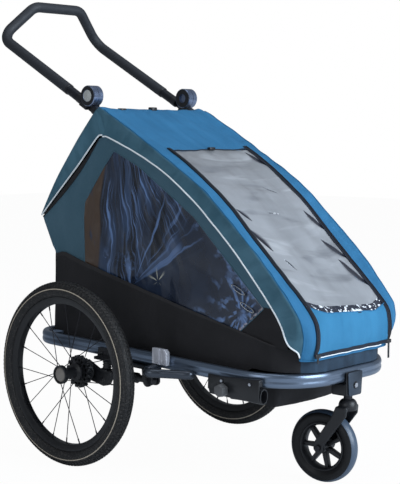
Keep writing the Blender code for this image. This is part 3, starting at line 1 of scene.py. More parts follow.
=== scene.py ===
# %% [markdown]
# # A child bike trailer in stroller trim
#
# One reference photograph, one packed engineering model, and a render that has to look like the first
# while it moves like the second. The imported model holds 60 nodes in 22 bodies with 21 joints. This
# notebook replaces each coarse node by a finely shaped piece, lets it ride on the same body, and gives
# every surface a procedural finish.
#
# Two drawing frames make the numbers readable. The body is drawn level and then tipped nose-down by
# about two degrees, as it stands on its wheels. Wheels, arms and caster are drawn upright.

import math

import bmesh
import bpy
import numpy as np
from mathutils import Matrix, Vector, noise


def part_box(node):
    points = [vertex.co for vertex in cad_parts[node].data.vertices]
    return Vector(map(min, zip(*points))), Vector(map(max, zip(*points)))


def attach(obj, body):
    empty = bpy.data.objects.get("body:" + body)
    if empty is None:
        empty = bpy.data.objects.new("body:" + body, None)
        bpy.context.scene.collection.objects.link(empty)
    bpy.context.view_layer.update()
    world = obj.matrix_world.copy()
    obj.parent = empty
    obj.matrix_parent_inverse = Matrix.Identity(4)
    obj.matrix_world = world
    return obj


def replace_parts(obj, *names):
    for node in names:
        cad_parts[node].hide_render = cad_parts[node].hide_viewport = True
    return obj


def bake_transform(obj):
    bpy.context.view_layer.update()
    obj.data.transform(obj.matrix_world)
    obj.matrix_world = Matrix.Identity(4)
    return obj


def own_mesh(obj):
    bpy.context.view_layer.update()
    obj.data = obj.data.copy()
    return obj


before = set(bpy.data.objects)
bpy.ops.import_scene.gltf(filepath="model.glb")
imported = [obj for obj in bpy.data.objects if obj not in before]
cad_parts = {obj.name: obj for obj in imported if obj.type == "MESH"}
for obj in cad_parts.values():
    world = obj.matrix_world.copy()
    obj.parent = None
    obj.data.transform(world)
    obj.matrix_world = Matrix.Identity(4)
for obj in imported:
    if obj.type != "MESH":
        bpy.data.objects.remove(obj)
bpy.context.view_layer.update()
RAIL_Z, AXLE_SHIFT, NOSE_DIP = 0.3119, 0.1368, math.atan(0.032)
LEVEL = (
    Matrix.Translation((0, AXLE_SHIFT, RAIL_Z)) @ Matrix.Rotation(NOSE_DIP, 4, "X")
    @ Matrix.Translation((0, 0, -RAIL_Z))
)
UPRIGHT = Matrix.Translation((0, AXLE_SHIFT, 0))
SIDES = (("l", 1), ("r", -1))

# %% [markdown]
# ## Node trees written like sums
#
# Shader and geometry trees are graphs, but most of what they compute is arithmetic. `Graph.add` makes
# any node from its type name. Its result is a `Wire`, which takes part in ordinary `+ - *`, so that a
# pattern reads as one line.

# %% Graph and Wire
class Wire:
    """One output socket that can be added to, scaled and compared."""

    def __init__(self, graph, socket):
        self.graph, self.socket = graph, socket

    def math(self, operation, *others):
        return self.graph.add("ShaderNodeMath", {0: self, **dict(enumerate(others, 1))}, operation=operation)

    def __add__(self, other):
        return self.math("ADD", other)

    def __sub__(self, other):
        return self.math("SUBTRACT", other)

    def __mul__(self, other):
        return self.math("MULTIPLY", other)

    def __truediv__(self, other):
        return self.math("DIVIDE", other)

    def sine(self):
        return self.math("SINE")

    def size(self):
        return self.math("ABSOLUTE")

    def between(self, low, high, to_low=0.0, to_high=1.0):
        """Eases from one value to another while the wire runs from low to high."""
        inputs = {"Value": self, "From Min": low, "From Max": high, "To Min": to_low, "To Max": to_high}
        return self.graph.add("ShaderNodeMapRange", inputs, "Result", interpolation_type="SMOOTHSTEP")

    def fading(self, low, high, share=1.0):
        """Eases from a share down to nothing."""
        return self.between(low, high, share, 0.0)


class Graph:
    """Builds a node tree. A colour may leave out its alpha."""

    def __init__(self, tree):
        self.tree = tree

    def add(self, kind, inputs=(), output=0, **settings):
        node = self.tree.nodes.new(kind)
        for key, value in settings.items():
            setattr(node, key, value)
        for key, value in dict(inputs).items():
            self.feed(node.inputs[key], value)
        return Wire(self, node.outputs[output])

    def feed(self, socket, value):
        if isinstance(value, Wire):
            self.tree.links.new(value.socket, socket)
        else:
            socket.default_value = (*value, 1) if socket.type == "RGBA" else value

    def place(self, kind):
        return self.add("ShaderNodeTexCoord", output=kind)

    def split(self, vector):
        """The first two numbers of a vector."""
        first = self.add("ShaderNodeSeparateXYZ", {0: vector})
        return first, Wire(self, first.socket.node.outputs[1])

    def noise(self, place, scale, detail=3.0, distortion=0.0):
        inputs = {"Vector": place, "Scale": scale, "Detail": detail, "Distortion": distortion}
        return self.add("ShaderNodeTexNoise", inputs, "Fac")

    def smear(self, place, pull, shift=(0, 0), turn=0.0, detail=3.0, distortion=0.0):
        """Noise with its own scale in each direction of a flat sheet."""
        inputs = {"Vector": place, "Scale": (*pull, 1), "Location": (*shift, 0), "Rotation": (0, 0, turn)}
        return self.noise(self.add("ShaderNodeMapping", inputs), 1.0, detail, distortion)

    def mix(self, share, first, second):
        return self.add("ShaderNodeMix", {0: share, 6: first, 7: second}, 2, data_type="RGBA")

    def layers(self, colour, *coats):
        """Lays (share, colour) coats over a colour, one after the other."""
        for share, coat in coats:
            colour = self.mix(share, colour, coat)
        return colour

# %% [markdown]
# ## Finishes
#
# Each finish starts from a constant Principled shader and adds only what the material really shows:
# the orange-peel of powder coating, the grain of moulded plastic, the weave of coated canvas. Patterns
# use object coordinates, so they don't slide when a part moves.

# %% Material helper
FINISHES = {}


class Finish(Graph):
    """A Principled material: constants first, then what varies over the surface."""

    def __init__(self, name, colour, roughness, **constants):
        FINISHES[name] = bpy.data.materials.new(name)
        FINISHES[name].use_nodes = True
        super().__init__(FINISHES[name].node_tree)
        self.shader = self.tree.nodes["Principled BSDF"]
        self.paint(Base_Color=colour, Roughness=roughness, **constants)

    def paint(self, **inputs):
        for key, value in inputs.items():
            self.feed(self.shader.inputs[key.replace("_", " ")], value)

    def relief(self, height, strength, distance):
        inputs = {"Height": height, "Strength": strength, "Distance": distance}
        self.paint(Normal=self.add("ShaderNodeBump", inputs, "Normal"))


def grained(name, colour, roughness, grain, depth, spread=0.12, fleck=None, **constants):
    """A hard surface with fine grain, slightly uneven gloss and, if asked, flecks of a second colour."""
    graph = Finish(name, colour, roughness, **constants)
    place = graph.place("Object")
    if fleck:
        graph.paint(Base_Color=graph.mix(graph.noise(place, 230.0, 2.0).between(0.50, 0.66), colour, fleck))
    gloss = graph.noise(place, 28.0).between(0.3, 0.7, roughness - spread / 2, roughness + spread / 2)
    graph.paint(Roughness=gloss)
    graph.relief(graph.noise(place, grain, 2.0), 0.35, depth)


def woven(name, colour, second, pull=(14.0, 14.0), depth=1.0, pitch=0.0011):
    """Coated canvas: a plain weave, soft mottling, and creases along the way it is pulled; the second tone
    follows the mottling and, as painted light, the creases, lighter on their ridges and darker in their
    hollows.
    """
    graph = Finish(name, colour, 0.78, Specular_IOR_Level=0.30)
    uv, place, turns = graph.place("UV"), graph.place("Object"), 2 * math.pi / pitch
    across, down = graph.split(uv)
    weave = (across * turns).sine() * (down * turns).sine()
    creases = graph.smear(uv, pull, detail=4.0, distortion=0.5)
    share = graph.noise(place, 9.0, 5.0).between(0.3, 0.7) * 0.55 + creases.between(0.35, 0.65) * 0.45
    graph.paint(Base_Color=graph.mix(share, colour, second))
    graph.relief(weave * 0.06 + graph.noise(place, 60.0, 4.0) * 0.35 + creases * depth, 0.55, 0.0045)

# %% [markdown]
# ## Hard finishes
#
# Powder coating, moulded plastic and rubber differ mostly in colour, gloss and grain. Pictures could
# hold the grain, but one noise does for all of them and has no seams. Each line is one material.

# %% Metals, plastics, rubbers and foam
# The frame and hinge coatings are an anthracite coat raised and tinted blue: their colour holds a painted
# reflection of the front window.
grained("frame_coating", (0.145, 0.186, 0.252), 0.30, 900.0, 0.00001, 0.02, Metallic=0.85)
grained("guard_coating", (0.055, 0.064, 0.080), 0.30, 900.0, 0.00004, 0.05, Metallic=0.80)
grained("hinge_coating", (0.180, 0.225, 0.330), 0.28, 900.0, 0.00004, 0.06, Metallic=0.85)
grained("bracket_coating", (0.045, 0.060, 0.082), 0.34, 900.0, 0.00006, 0.05, Metallic=0.75)
grained("rim_black", (0.0075, 0.0078, 0.0090), 0.34, 700.0, 0.00004, Specular_IOR_Level=0.35)
grained("black_tube", (0.018, 0.020, 0.026), 0.36, 700.0, 0.0002, Metallic=0.60)
grained("black_plastic", (0.0090, 0.0095, 0.0115), 0.40, 1100.0, 0.0003, Specular_IOR_Level=0.40)
grained("grey_plastic", (0.38, 0.39, 0.375), 0.45, 900.0, 0.0002)
grained("hub_cap", (0.185, 0.168, 0.150), 0.45, 900.0, 0.0002)
grained("knob_grey", (0.085, 0.086, 0.090), 0.40, 900.0, 0.0002)
grained("plated_steel", (0.42, 0.44, 0.48), 0.30, 500.0, 0.0001, Metallic=1.0)
grained("dark_steel", (0.030, 0.030, 0.034), 0.38, 500.0, 0.0001, Metallic=0.9)
grained("tyre_rubber", (0.0075, 0.0076, 0.0082), 0.62, 500.0, 0.0010, Specular_IOR_Level=0.35,
        fleck=(0.034, 0.031, 0.029))
grained("caster_rubber", (0.0040, 0.0042, 0.0050), 0.48, 600.0, 0.0002, Specular_IOR_Level=0.28)
# A lighter, bluer copy of the caster rubber: a painted highlight for its tread.
grained("caster_tread", (0.042, 0.066, 0.104), 0.42, 600.0, 0.0002, Specular_IOR_Level=0.60)
grained("spring_rubber", (0.012, 0.012, 0.013), 0.60, 500.0, 0.0004)
grained("grip_foam", (0.0130, 0.0155, 0.0210), 0.62, 420.0, 0.0012, Specular_IOR_Level=0.45)
grained("tan_strip", (0.43, 0.37, 0.29), 0.50, 300.0, 0.0002)
grained("reflector", (0.56, 0.57, 0.63), 0.18, 90.0, 0.0002, 0.06, Metallic=0.35)
grained("piping_silver", (0.76, 0.80, 0.82), 0.42, 400.0, 0.0003)
print(len(FINISHES), "hard finishes")

# %% [markdown]
# ## Woven finishes
#
# Coated canvas shows two tones and the creases of its pull; where the tones follow the creases, that is
# painted light. Each line gives the tones, the scale of the creases across and along the cloth, and their
# depth.

# %% Woven fabrics
woven("roof_blue", (0.017, 0.118, 0.245), (0.026, 0.152, 0.305), (30.0, 3.0))
woven("flap_blue", (0.022, 0.150, 0.290), (0.036, 0.200, 0.370), (22.0, 5.0))
woven("skirt_teal", (0.032, 0.096, 0.137), (0.068, 0.164, 0.224), (10.0, 22.0), 2.6)
woven("side_teal", (0.044, 0.103, 0.142), (0.060, 0.124, 0.168), (11.0, 7.0))
woven("tub_black", (0.0095, 0.0092, 0.0105), (0.0170, 0.0160, 0.0180), (6.0, 14.0), 1.4)
woven("hem_black", (0.020, 0.019, 0.020), (0.028, 0.027, 0.028))
woven("nose_navy", (0.009, 0.019, 0.034), (0.026, 0.054, 0.090), (34.0, 5.0), 1.5)
woven("zip_tape", (0.0080, 0.0110, 0.0200), (0.0150, 0.0190, 0.0310))
woven("seat_cloth", (0.018, 0.019, 0.022), (0.026, 0.027, 0.031))
woven("webbing", (0.008, 0.008, 0.010), (0.014, 0.014, 0.016), pitch=0.0022)

# %% [markdown]
# ## Films
#
# The windows are soft PVC. They keep folds: long creases that catch the sky as bright streaks, and
# dark ones where the film turns away. Both are painted into the films' colours, as painted reflection
# and painted shade, and the front film's grey is a painted reflection of the sky. The streaks follow
# the sheet's own UVs, which are in metres.

# %% Window films
def front_film():
    """Clear film whose grey is a painted reflection of the sky, darker towards its top, with painted light
    and dark broad waves, painted shade in the creases stored on its sheet and a painted glint on their sharp
    side.
    """
    graph = Finish("front_film", (0.25, 0.27, 0.31), 0.24, Coat_Weight=0.5, Coat_Roughness=0.14)
    uv = graph.place("UV")
    crease = graph.add("ShaderNodeAttribute", output="Fac", attribute_name="crease")
    slow = graph.smear(uv, (9, 3), (3.1, 0.4), detail=4.0)
    wave = graph.smear(uv, (4, 15), (0.2, 7.4), 0.42, distortion=0.9)
    _, down = graph.split(uv)
    graph.paint(Base_Color=graph.layers(
        (0.215, 0.224, 0.240),
        (slow.between(0.25, 0.75), (0.300, 0.312, 0.334)),
        (down.fading(0.02, 0.26, 0.60), (0.150, 0.155, 0.165)),
        (wave.between(0.54, 0.74, 0.0, 0.55), (0.44, 0.455, 0.48)),
        (wave.fading(0.26, 0.46, 0.50), (0.085, 0.092, 0.110)),
        (crease.between(0.10, 0.85), (0.014, 0.016, 0.026)),
        (crease.fading(-0.75, -0.2, 0.75), (0.72, 0.76, 0.82)),
    ))
    graph.relief(slow + wave, 0.5, 0.006)


def film_hem():
    """The film's puckered lower seam: dark, with glints."""
    graph = Finish("film_hem", (0.04, 0.05, 0.07), 0.20, Coat_Weight=0.6, Coat_Roughness=0.10)
    glint = graph.smear(graph.place("UV"), (70, 90)).between(0.54, 0.60)
    graph.paint(Base_Color=graph.mix(glint, (0.018, 0.022, 0.036), (0.80, 0.84, 0.88)))
    graph.relief(glint, 0.6, 0.003)


def side_film():
    """Tinted film with painted reflection: bright streaks along its folds, creases and crumples, broad
    mid-blue patches, and painted shade in broad dark folds. Its UVs are the level frame's y and z; the rim
    attribute is the way in from its edge.
    """
    graph = Finish("side_film", (0.012, 0.019, 0.036), 0.14, Coat_Weight=0.30, Coat_Roughness=0.05)
    uv = graph.place("UV")
    along, up = graph.split(uv)
    rim = graph.add("ShaderNodeAttribute", output="Fac", attribute_name="rim")
    wander, wiggle = graph.smear(uv, (8, 6)), graph.smear(uv, (26, 4), (0, 3), detail=2.0)

    def about(y, z, way=1.0):
        """Angle and distance from a point of the film."""
        out, high = (along - y) * way, up - z
        return high.math("ARCTAN2", out), (out * out + high * high).math("SQRT")

    def lines(angle, pitch, seed, sharp):
        """Thin painted highlight lines along one fan, broken up along their length."""
        place = graph.add("ShaderNodeCombineXYZ", {0: angle * (pitch * 0.55), 1: up * 5.0, 2: seed})
        broken = graph.noise(place, 1.0).between(0.47, 0.63)
        return (angle * pitch).sine().size().between(sharp, 0.99) * broken

    # The main fan of painted highlight streaks hangs from a point above the peak.
    pleat = (along + 0.02) / (up * -1.0 + 1.02) + wander * 0.20 + wiggle * 0.055
    patch = graph.smear(uv, (13, 4.5), (5, 1), detail=2.0).between(0.42, 0.60, 0.15, 1.0)
    fan = lines(pleat, 37.0, 1.0, 0.80) + lines(pleat + 0.07, 71.0, 5.0, 0.84) * 0.8
    fan = (fan + lines(pleat, 133.0, 3.0, 0.80) * 0.6) * patch
    # A second fan of painted highlights, a broad sash among rays, rises from the lower edge and ends the
    # first one.
    ray, far = about(-0.117, 0.493, -1.0)
    ray = ray + (wander - 0.5) * 0.35
    sash = ray.between(0.52, 0.58) * ray.fading(0.74, 0.80) * far.fading(0.185, 0.225)
    sash = sash * (ray * 34.0).sine().between(-0.6, 0.9, 0.35, 1.0) * far.between(0.02, 0.10, 0.3, 1.0)
    rays = lines(ray, 26.0, 9.0, 0.72) * ray.between(0.40, 0.62) * ray.fading(1.2, 1.5)
    rays = rays * far.between(0.02, 0.05) * far.fading(0.22, 0.32)
    rear = along.between(-0.33, -0.26)
    upper = ray.between(0.62, 0.95).math("MAXIMUM", along.between(-0.12, -0.09)) * rear
    # Painted highlights of crumpled film: facets and creases in the nose corner, along the front edge and at
    # the foot.
    cells = graph.add("ShaderNodeTexVoronoi", {"Vector": uv, "Scale": 38.0, "Randomness": 1.0}, "Color")
    facet, _ = graph.split(cells)
    crumple = facet.between(0.45, 0.80) * graph.noise(uv, 60.0, 2.0).between(0.45, 0.60)
    corner = crumple * along.fading(-0.455, -0.415) * up.fading(0.49, 0.60)
    foot = crumple * along.between(-0.16, -0.06) * up.fading(0.53, 0.60)
    edge = rim.fading(0.020, 0.050) * along.fading(-0.36, -0.31)
    edge = edge * graph.smear(uv, (22, 30), (3, 1), -0.8, 4.0).between(0.50, 0.66)
    tip, _ = about(-0.50, 0.46)
    creased = (tip * 13.0 + wander * 17.0 + wiggle * 7.0).sine().between(0.2, 0.95)
    creased = creased * along.fading(-0.45, -0.37) * up.fading(0.50, 0.60)
    creased = creased * graph.noise(uv, 27.0, 2.0).between(0.42, 0.58)
    # A painted highlight along the film's rim near the nose corner.
    rim_glint = rim.fading(0.003, 0.010) * along.fading(-0.42, -0.37) * up.fading(0.50, 0.56)
    rim_glint = rim_glint * graph.noise(uv, 95.0, 2.0).between(0.44, 0.56)
    # A small star of creases, where something behind pushes against the film; its bright lines are a painted
    # highlight.
    star, reach = about(-0.208, 0.512)
    star = (star * 3.3 + wander * 6.0).sine().size().between(0.90, 0.995) * reach.fading(0.008, 0.042)
    star = star * (up - 0.512).between(-0.012, 0.004) * reach.between(0.002, 0.010) * 0.75
    # A brown strip shows behind the rear edge.
    hem = along + (up - 0.70).math("MAXIMUM", 0.0) * 0.24 + (up * 21.0 + 1.0).sine() * 0.004
    brown = hem.between(0.014, 0.024) * graph.smear(uv, (30, 8), detail=2.0).between(0.3, 0.45)
    # Painted reflection in broad mid-blue patches, and painted shade in broad dark folds.
    glow = graph.smear(uv, (22, 3.4), (2, 7), detail=2.0).between(0.46, 0.60)
    fold = graph.smear(uv, (30, 2.8), (9, 3), detail=1.0).between(0.52, 0.60)
    streak = fan * upper + sash * 0.62 + rays * 0.7 + corner * 0.7 + creased * 0.8 + foot * 0.6 + edge * 0.7
    graph.paint(Base_Color=graph.layers(
        (0.0085, 0.0125, 0.0240),
        (wander.between(0.3, 0.7), (0.0190, 0.0300, 0.0560)),
        (glow * upper * 0.8, (0.030, 0.056, 0.115)),
        (fold * upper, (0.0045, 0.0065, 0.0120)),
        (brown, (0.064, 0.040, 0.026)),
        (streak * hem.fading(0.010, 0.022), (0.125, 0.215, 0.420)),
        (rim_glint * 0.8, (0.42, 0.37, 0.38)),
        (star, (0.60, 0.60, 0.50)),
    ))
    graph.relief((pleat * 46.0).sine() * rear + wander * 2.0 + corner, 0.40, 0.003)


front_film()
film_hem()
side_film()
print(sorted(FINISHES))

# %% [markdown]
# ## Shapes from rows of points
#
# Nearly everything here is a grid of points: a tube is a grid wrapped round a path, a tyre is a grid
# wrapped twice, a sheet of cloth is a grid with edges. One function turns such an array into a mesh
# and stores its flat size as UVs.

# %% Grid meshes
def linked(name, data):
    """A new object in the scene."""
    obj = bpy.data.objects.new(name, data)
    bpy.context.scene.collection.objects.link(obj)
    return obj


def placed(points, matrix):
    """Points of a drawing frame, in the world."""
    turn = np.array(matrix)
    return np.asarray(points, float) @ turn[:3, :3].T + turn[:3, 3]


def flat_lengths(points, axis, wrap):
    """Distance covered along one direction of a grid, from its middle line."""
    line = points[:, points.shape[1] // 2] if axis == 0 else points[points.shape[0] // 2]
    if wrap:
        line = np.concatenate([line, line[:1]])
    steps = np.linalg.norm(np.diff(line, axis=0), axis=1)
    return np.concatenate([[0.0], np.cumsum(steps)])


def grid_piece(name, points, material, wrap=(False, False), caps=False, keep=None, zones=None, uv=None):
    """A mesh object from a rows x columns array of world points."""
    points = np.asarray(points, float)
    rows, columns = points.shape[:2]
    i, j = np.meshgrid(
        np.arange(rows - (not wrap[0])), np.arange(columns - (not wrap[1])), indexing="ij"
    )
    i, j = i.ravel(), j.ravel()
    if keep is not None:
        chosen = keep(i, j)
        i, j = i[chosen], j[chosen]
    around_i = np.stack([i, i + 1, i + 1, i], 1)
    around_j = np.stack([j, j, j + 1, j + 1], 1)
    faces = ((around_i % rows) * columns + around_j % columns).tolist()
    if caps:
        faces += [list(range(columns))[::-1], list(range((rows - 1) * columns, rows * columns))]
    mesh = bpy.data.meshes.new(name)
    mesh.from_pydata(points.reshape(-1, 3).tolist(), [], faces)
    layer = mesh.uv_layers.new(name="flat")
    if uv is None:
        down, over = flat_lengths(points, 0, wrap[0]), flat_lengths(points, 1, wrap[1])
        flat = np.stack([over[around_j], down[around_i]], 2).reshape(-1, 2)
    else:
        flat = np.asarray(uv, float)[around_i % rows, around_j % columns].reshape(-1, 2)
    flat = np.concatenate([flat, np.zeros((len(mesh.loops) - len(flat), 2))])
    layer.data.foreach_set("uv", flat.astype(np.float32).ravel())
    for entry in [material] if isinstance(material, str) else material:
        mesh.materials.append(FINISHES[entry])
    if zones is not None:
        chosen = np.concatenate([zones(i, j), np.zeros(len(faces) - len(i), int)])
        mesh.polygons.foreach_set("material_index", chosen.astype(np.int32))
    return tidy(linked(name, mesh))


def tidy(obj, angle=38, merge=0.0):
    """Drops stray points, turns every face outwards and keeps edges sharper than the angle."""
    bm = bmesh.new()
    bm.from_mesh(obj.data)
    if merge:
        bmesh.ops.remove_doubles(bm, verts=bm.verts, dist=merge)
    loose = [vert for vert in bm.verts if not vert.link_faces]
    bmesh.ops.delete(bm, geom=loose, context="VERTS")
    bmesh.ops.recalc_face_normals(bm, faces=bm.faces)
    bm.to_mesh(obj.data)
    bm.free()
    obj.data.shade_smooth()
    obj.data.set_sharp_from_angle(angle=math.radians(angle))
    return obj


def settled(obj, angle=38):
    """The object with its modifiers worked into the mesh."""
    graph = bpy.context.evaluated_depsgraph_get()
    graph.update()
    made = bpy.data.meshes.new_from_object(obj.evaluated_get(graph))
    obj.modifiers.clear()
    obj.data = made
    made.name = obj.name
    return tidy(obj, angle)


def thickened(obj, thickness, offset=0.0):
    wall = obj.modifiers.new("wall", "SOLIDIFY")
    wall.thickness, wall.offset = thickness, offset
    return settled(obj, 50)


def marked(obj, name, values):
    """Stores one number per point, for a finish to read."""
    layer = obj.data.attributes.new(name, "FLOAT", "POINT")
    layer.data.foreach_set("value", np.ravel(values).astype(np.float32))
    return obj


def bevelled(obj, width, angle=35, segments=2):
    edge = obj.modifiers.new("ease", "BEVEL")
    edge.width, edge.segments = width, segments
    edge.limit_method, edge.angle_limit = "ANGLE", math.radians(angle)
    return obj

# %% [markdown]
# ## Sweeping and turning
#
# A tube is a section swept along a path, and a hub a profile turned about its axle. Curve objects or
# a screw modifier could make them too. Arrays keep every number in sight.

# %% Lines, tubes and turned pieces
def unit(vectors):
    """Vectors brought to length one."""
    return vectors / np.maximum(np.linalg.norm(vectors, axis=-1, keepdims=True), 1e-12)


def smooth_line(points, count):
    """A Catmull-Rom line through points, resampled to evenly spaced ones."""
    points = np.asarray([tuple(point) for point in points], float)
    ends = np.concatenate([2 * points[:1] - points[1:2], points, 2 * points[-1:] - points[-2:-1]])
    t = np.linspace(0, 1, 24, endpoint=False)[:, None]
    spans = []
    for a, b, c, d in zip(ends, ends[1:], ends[2:], ends[3:]):
        spans.append(0.5 * (2 * b + (c - a) * t + (2 * a - 5 * b + 4 * c - d) * t ** 2
                            + (3 * b - a - 3 * c + d) * t ** 3))
    return resampled(np.concatenate([*spans, points[-1:]]), count)


def resampled(line, count):
    line = np.asarray(line, float)
    reach = np.concatenate([[0], np.cumsum(np.linalg.norm(np.diff(line, axis=0), axis=1))])
    at = np.linspace(0, reach[-1], count)
    return np.stack([np.interp(at, reach, line[:, k]) for k in range(line.shape[1])], 1)


def side_view(points, x):
    """Side-view (y, z) points set at a distance from the middle plane."""
    points = np.asarray(points, float)
    return np.concatenate([np.full((len(points), 1), float(x)), points], 1)


def arc(centre, radius, start, end, steps):
    angles = np.radians(np.linspace(start, end, steps + 1))
    return np.stack([centre[0] + radius * np.cos(angles), centre[1] + radius * np.sin(angles)], 1)


def ring(radius, sides, squeeze=1.0):
    angles = np.linspace(0, 2 * math.pi, sides, endpoint=False)
    return np.stack([radius * np.cos(angles), radius * squeeze * np.sin(angles)], 1)


def tube(name, path, section, material, closed=False, up=None):
    """Sweeps a closed section along a path without twisting it."""
    path = np.asarray(path, float)
    if np.isscalar(section):
        section = ring(section, 20)
    ahead = unit(np.roll(path, -1, 0) - np.roll(path, 1, 0) if closed else np.gradient(path, axis=0))
    guide = np.array(up if up is not None else (0.0, 0.0, 1.0), float)
    if up is None and abs(ahead[0] @ guide) > 0.9:
        guide = np.array((1.0, 0.0, 0.0))
    rows = []
    for place, run in zip(path, ahead):
        side = unit(np.cross(run, guide))
        top = np.cross(side, run)
        rows.append(place + section[:, :1] * side + section[:, 1:] * top)
        guide = top if up is None else guide
    return grid_piece(name, rows, material, (closed, True), not closed)


def rod(name, start, end, radius, material, sides=20, ease=0.0006):
    """A round bar with eased ends."""
    start, end = np.asarray(start, float), np.asarray(end, float)
    run = unit(end - start)
    other = unit(np.cross(run, (0, 0, 1) if abs(run[2]) < 0.9 else (1, 0, 0)))
    flat = ring(1.0, sides)
    flat = flat[:, :1] * other + flat[:, 1:] * np.cross(other, run)
    inset = run * ease
    rows = [start + (radius - ease) * flat, start + inset + radius * flat,
            end - inset + radius * flat, end + (radius - ease) * flat]
    return grid_piece(name, rows, material, (False, True), True)


def turned(name, profile, centre, material, steps=64, sign=1, closed=True):
    """Turns a (radius, distance along X) profile about an axle that runs along X."""
    angles = np.linspace(0, 2 * math.pi, steps, endpoint=False)
    rows = [
        [(centre[0] + sign * x, centre[1] + r * math.cos(a), centre[2] + r * math.sin(a)) for r, x in profile]
        for a in angles
    ]
    made = grid_piece(name, rows, material, (True, closed))
    return made if closed else tidy(made, merge=1e-6)


def prism(name, outline, x_low, x_high, material, ease=0.0012, segments=2):
    """A side-view outline given width along X, its edges eased."""
    bm = bmesh.new()
    low = [bm.verts.new((x_low, y, z)) for y, z in outline]
    high = [bm.verts.new((x_high, y, z)) for y, z in outline]
    bm.faces.new(low)
    bm.faces.new(high[::-1])
    count = len(low)
    for k in range(count):
        bm.faces.new((low[k], high[k], high[(k + 1) % count], low[(k + 1) % count]))
    return from_bmesh(name, bm, material, ease, segments)


def soft_corners(outline, reach, steps=4):
    """A polygon with each corner turned into a short curve."""
    points, out = [np.array(p, float) for p in outline], []
    for k, corner in enumerate(points):
        sides = points[k - 1] - corner, points[(k + 1) % len(points)] - corner
        first, last = (corner + side * reach / np.linalg.norm(side) for side in sides)
        out += [tuple((1 - t) ** 2 * first + 2 * t * (1 - t) * corner + t * t * last)
                for t in np.linspace(0, 1, steps + 1)]
    return out


def block(name, low, high, material, ease=0.0012, segments=2):
    bm = bmesh.new()
    bmesh.ops.create_cube(bm, size=1.0)
    for vert in bm.verts:
        vert.co = [(a + b) / 2 + c * (b - a) for a, b, c in zip(low, high, vert.co)]
    return from_bmesh(name, bm, material, ease, segments)


def from_bmesh(name, bm, material, ease, segments):
    mesh = bpy.data.meshes.new(name)
    bm.to_mesh(mesh)
    bm.free()
    mesh.materials.append(FINISHES[material])
    obj = linked(name, mesh)
    return settled(bevelled(obj, ease, segments=segments) if ease else obj)


def moved(obj, matrix):
    obj.data.transform(matrix)
    return obj


def joined(name, objs, matrix=Matrix()):
    """One object from several, each keeping its materials, moved out of its drawing frame."""
    first = objs[0]
    chosen = {"selected_objects": objs, "selected_editable_objects": objs}
    with bpy.context.temp_override(active_object=first, **chosen):
        bpy.ops.object.join()
    first.name = first.data.name = name
    return moved(first, matrix)

# %% [markdown]
# ## Two repeating trees
#
# Spokes, brake teeth and tread blocks are copies round an axle. Zip teeth are copies along a line.
# Each is one Geometry Nodes tree that ends in Realize Instances and Set Material. The element is the
# object that carries the modifier.

# %% Geometry Nodes trees
def new_tree(name, inputs):
    tree = bpy.data.node_groups.new(name, "GeometryNodeTree")
    keys = {}
    for label, kind in (("Geometry", "Geometry"), *inputs, ("Material", "Material")):
        socket = tree.interface.new_socket(label, in_out="INPUT", socket_type="NodeSocket" + kind)
        keys[label] = socket.identifier
    tree.interface.new_socket("Geometry", in_out="OUTPUT", socket_type="NodeSocketGeometry")
    graph = Graph(tree)
    start = tree.nodes.new("NodeGroupInput")
    return tree, graph, {key: Wire(graph, start.outputs[key]) for key in keys}, keys


def close_tree(graph, instances, material):
    real = graph.add("GeometryNodeRealizeInstances", {0: instances})
    painted = graph.add("GeometryNodeSetMaterial", {"Geometry": real, "Material": material})
    end = graph.tree.nodes.new("NodeGroupOutput")
    graph.feed(end.inputs[0], painted)


def ring_tree():
    tree, graph, given, keys = new_tree("copies_round_an_axle", [("Count", "Int")])
    points = graph.add("GeometryNodePoints", {"Count": given["Count"]})
    turn = graph.add("GeometryNodeInputIndex") * (2 * math.pi) / given["Count"]
    spin = graph.add("ShaderNodeCombineXYZ", {"X": turn})
    inputs = {"Points": points, "Instance": given["Geometry"], "Rotation": spin}
    close_tree(graph, graph.add("GeometryNodeInstanceOnPoints", inputs), given["Material"])
    return tree, keys


def row_tree():
    tree, graph, given, keys = new_tree("copies_along_a_line", [("Line", "Object"), ("Spacing", "Float")])
    line = graph.add("GeometryNodeObjectInfo", {"Object": given["Line"]}, "Geometry")
    even = graph.add("GeometryNodeResampleCurve", {"Curve": line, "Length": given["Spacing"]}, mode="LENGTH")
    run = graph.add("GeometryNodeInputTangent")
    facing = graph.add("FunctionNodeAlignRotationToVector", {"Vector": run}, axis="Y", pivot_axis="X")
    inputs = {"Points": even, "Instance": given["Geometry"], "Rotation": facing}
    close_tree(graph, graph.add("GeometryNodeInstanceOnPoints", inputs), given["Material"])
    return tree, keys


RING, ROW = ring_tree(), row_tree()


def repeated(element, copies, material, **values):
    """Runs a tree on an element and keeps the result as its mesh."""
    tree, keys = copies
    step = element.modifiers.new("repeat", "NODES")
    step.node_group = tree
    step[keys["Material"]] = FINISHES[material]
    for key, value in values.items():
        step[keys[key]] = value
    return settled(element)


def round_axle(element, count, centre, material):
    """Copies of an element drawn about the origin, set round an axle at centre."""
    return moved(repeated(element, RING, material, Count=count), Matrix.Translation(centre))


def along_line(element, path, spacing, material):
    curve = bpy.data.curves.new("line", "CURVE")
    curve.dimensions = "3D"
    spline = curve.splines.new("POLY")
    spline.points.add(len(path) - 1)
    for point, place in zip(spline.points, path):
        point.co = (*place, 1)
    guide = linked("line", curve)
    made = repeated(element, ROW, material, Line=guide, Spacing=spacing)
    bpy.data.objects.remove(guide)
    return made


for tree, _ in (RING, ROW):
    print(tree.name, len(tree.nodes), "nodes")

# %% [markdown]
# ## Handing pieces over
#
# A finished piece rides on a body of the imported model and hides the nodes it stands for. Hard
# parts whose imported shape is already true get a rounded copy of it, so that their edges catch the light.

# %% Riding, refining
MADE = []


def trim(obj, body):
    """A small piece with no node of its own."""
    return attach(obj, body)


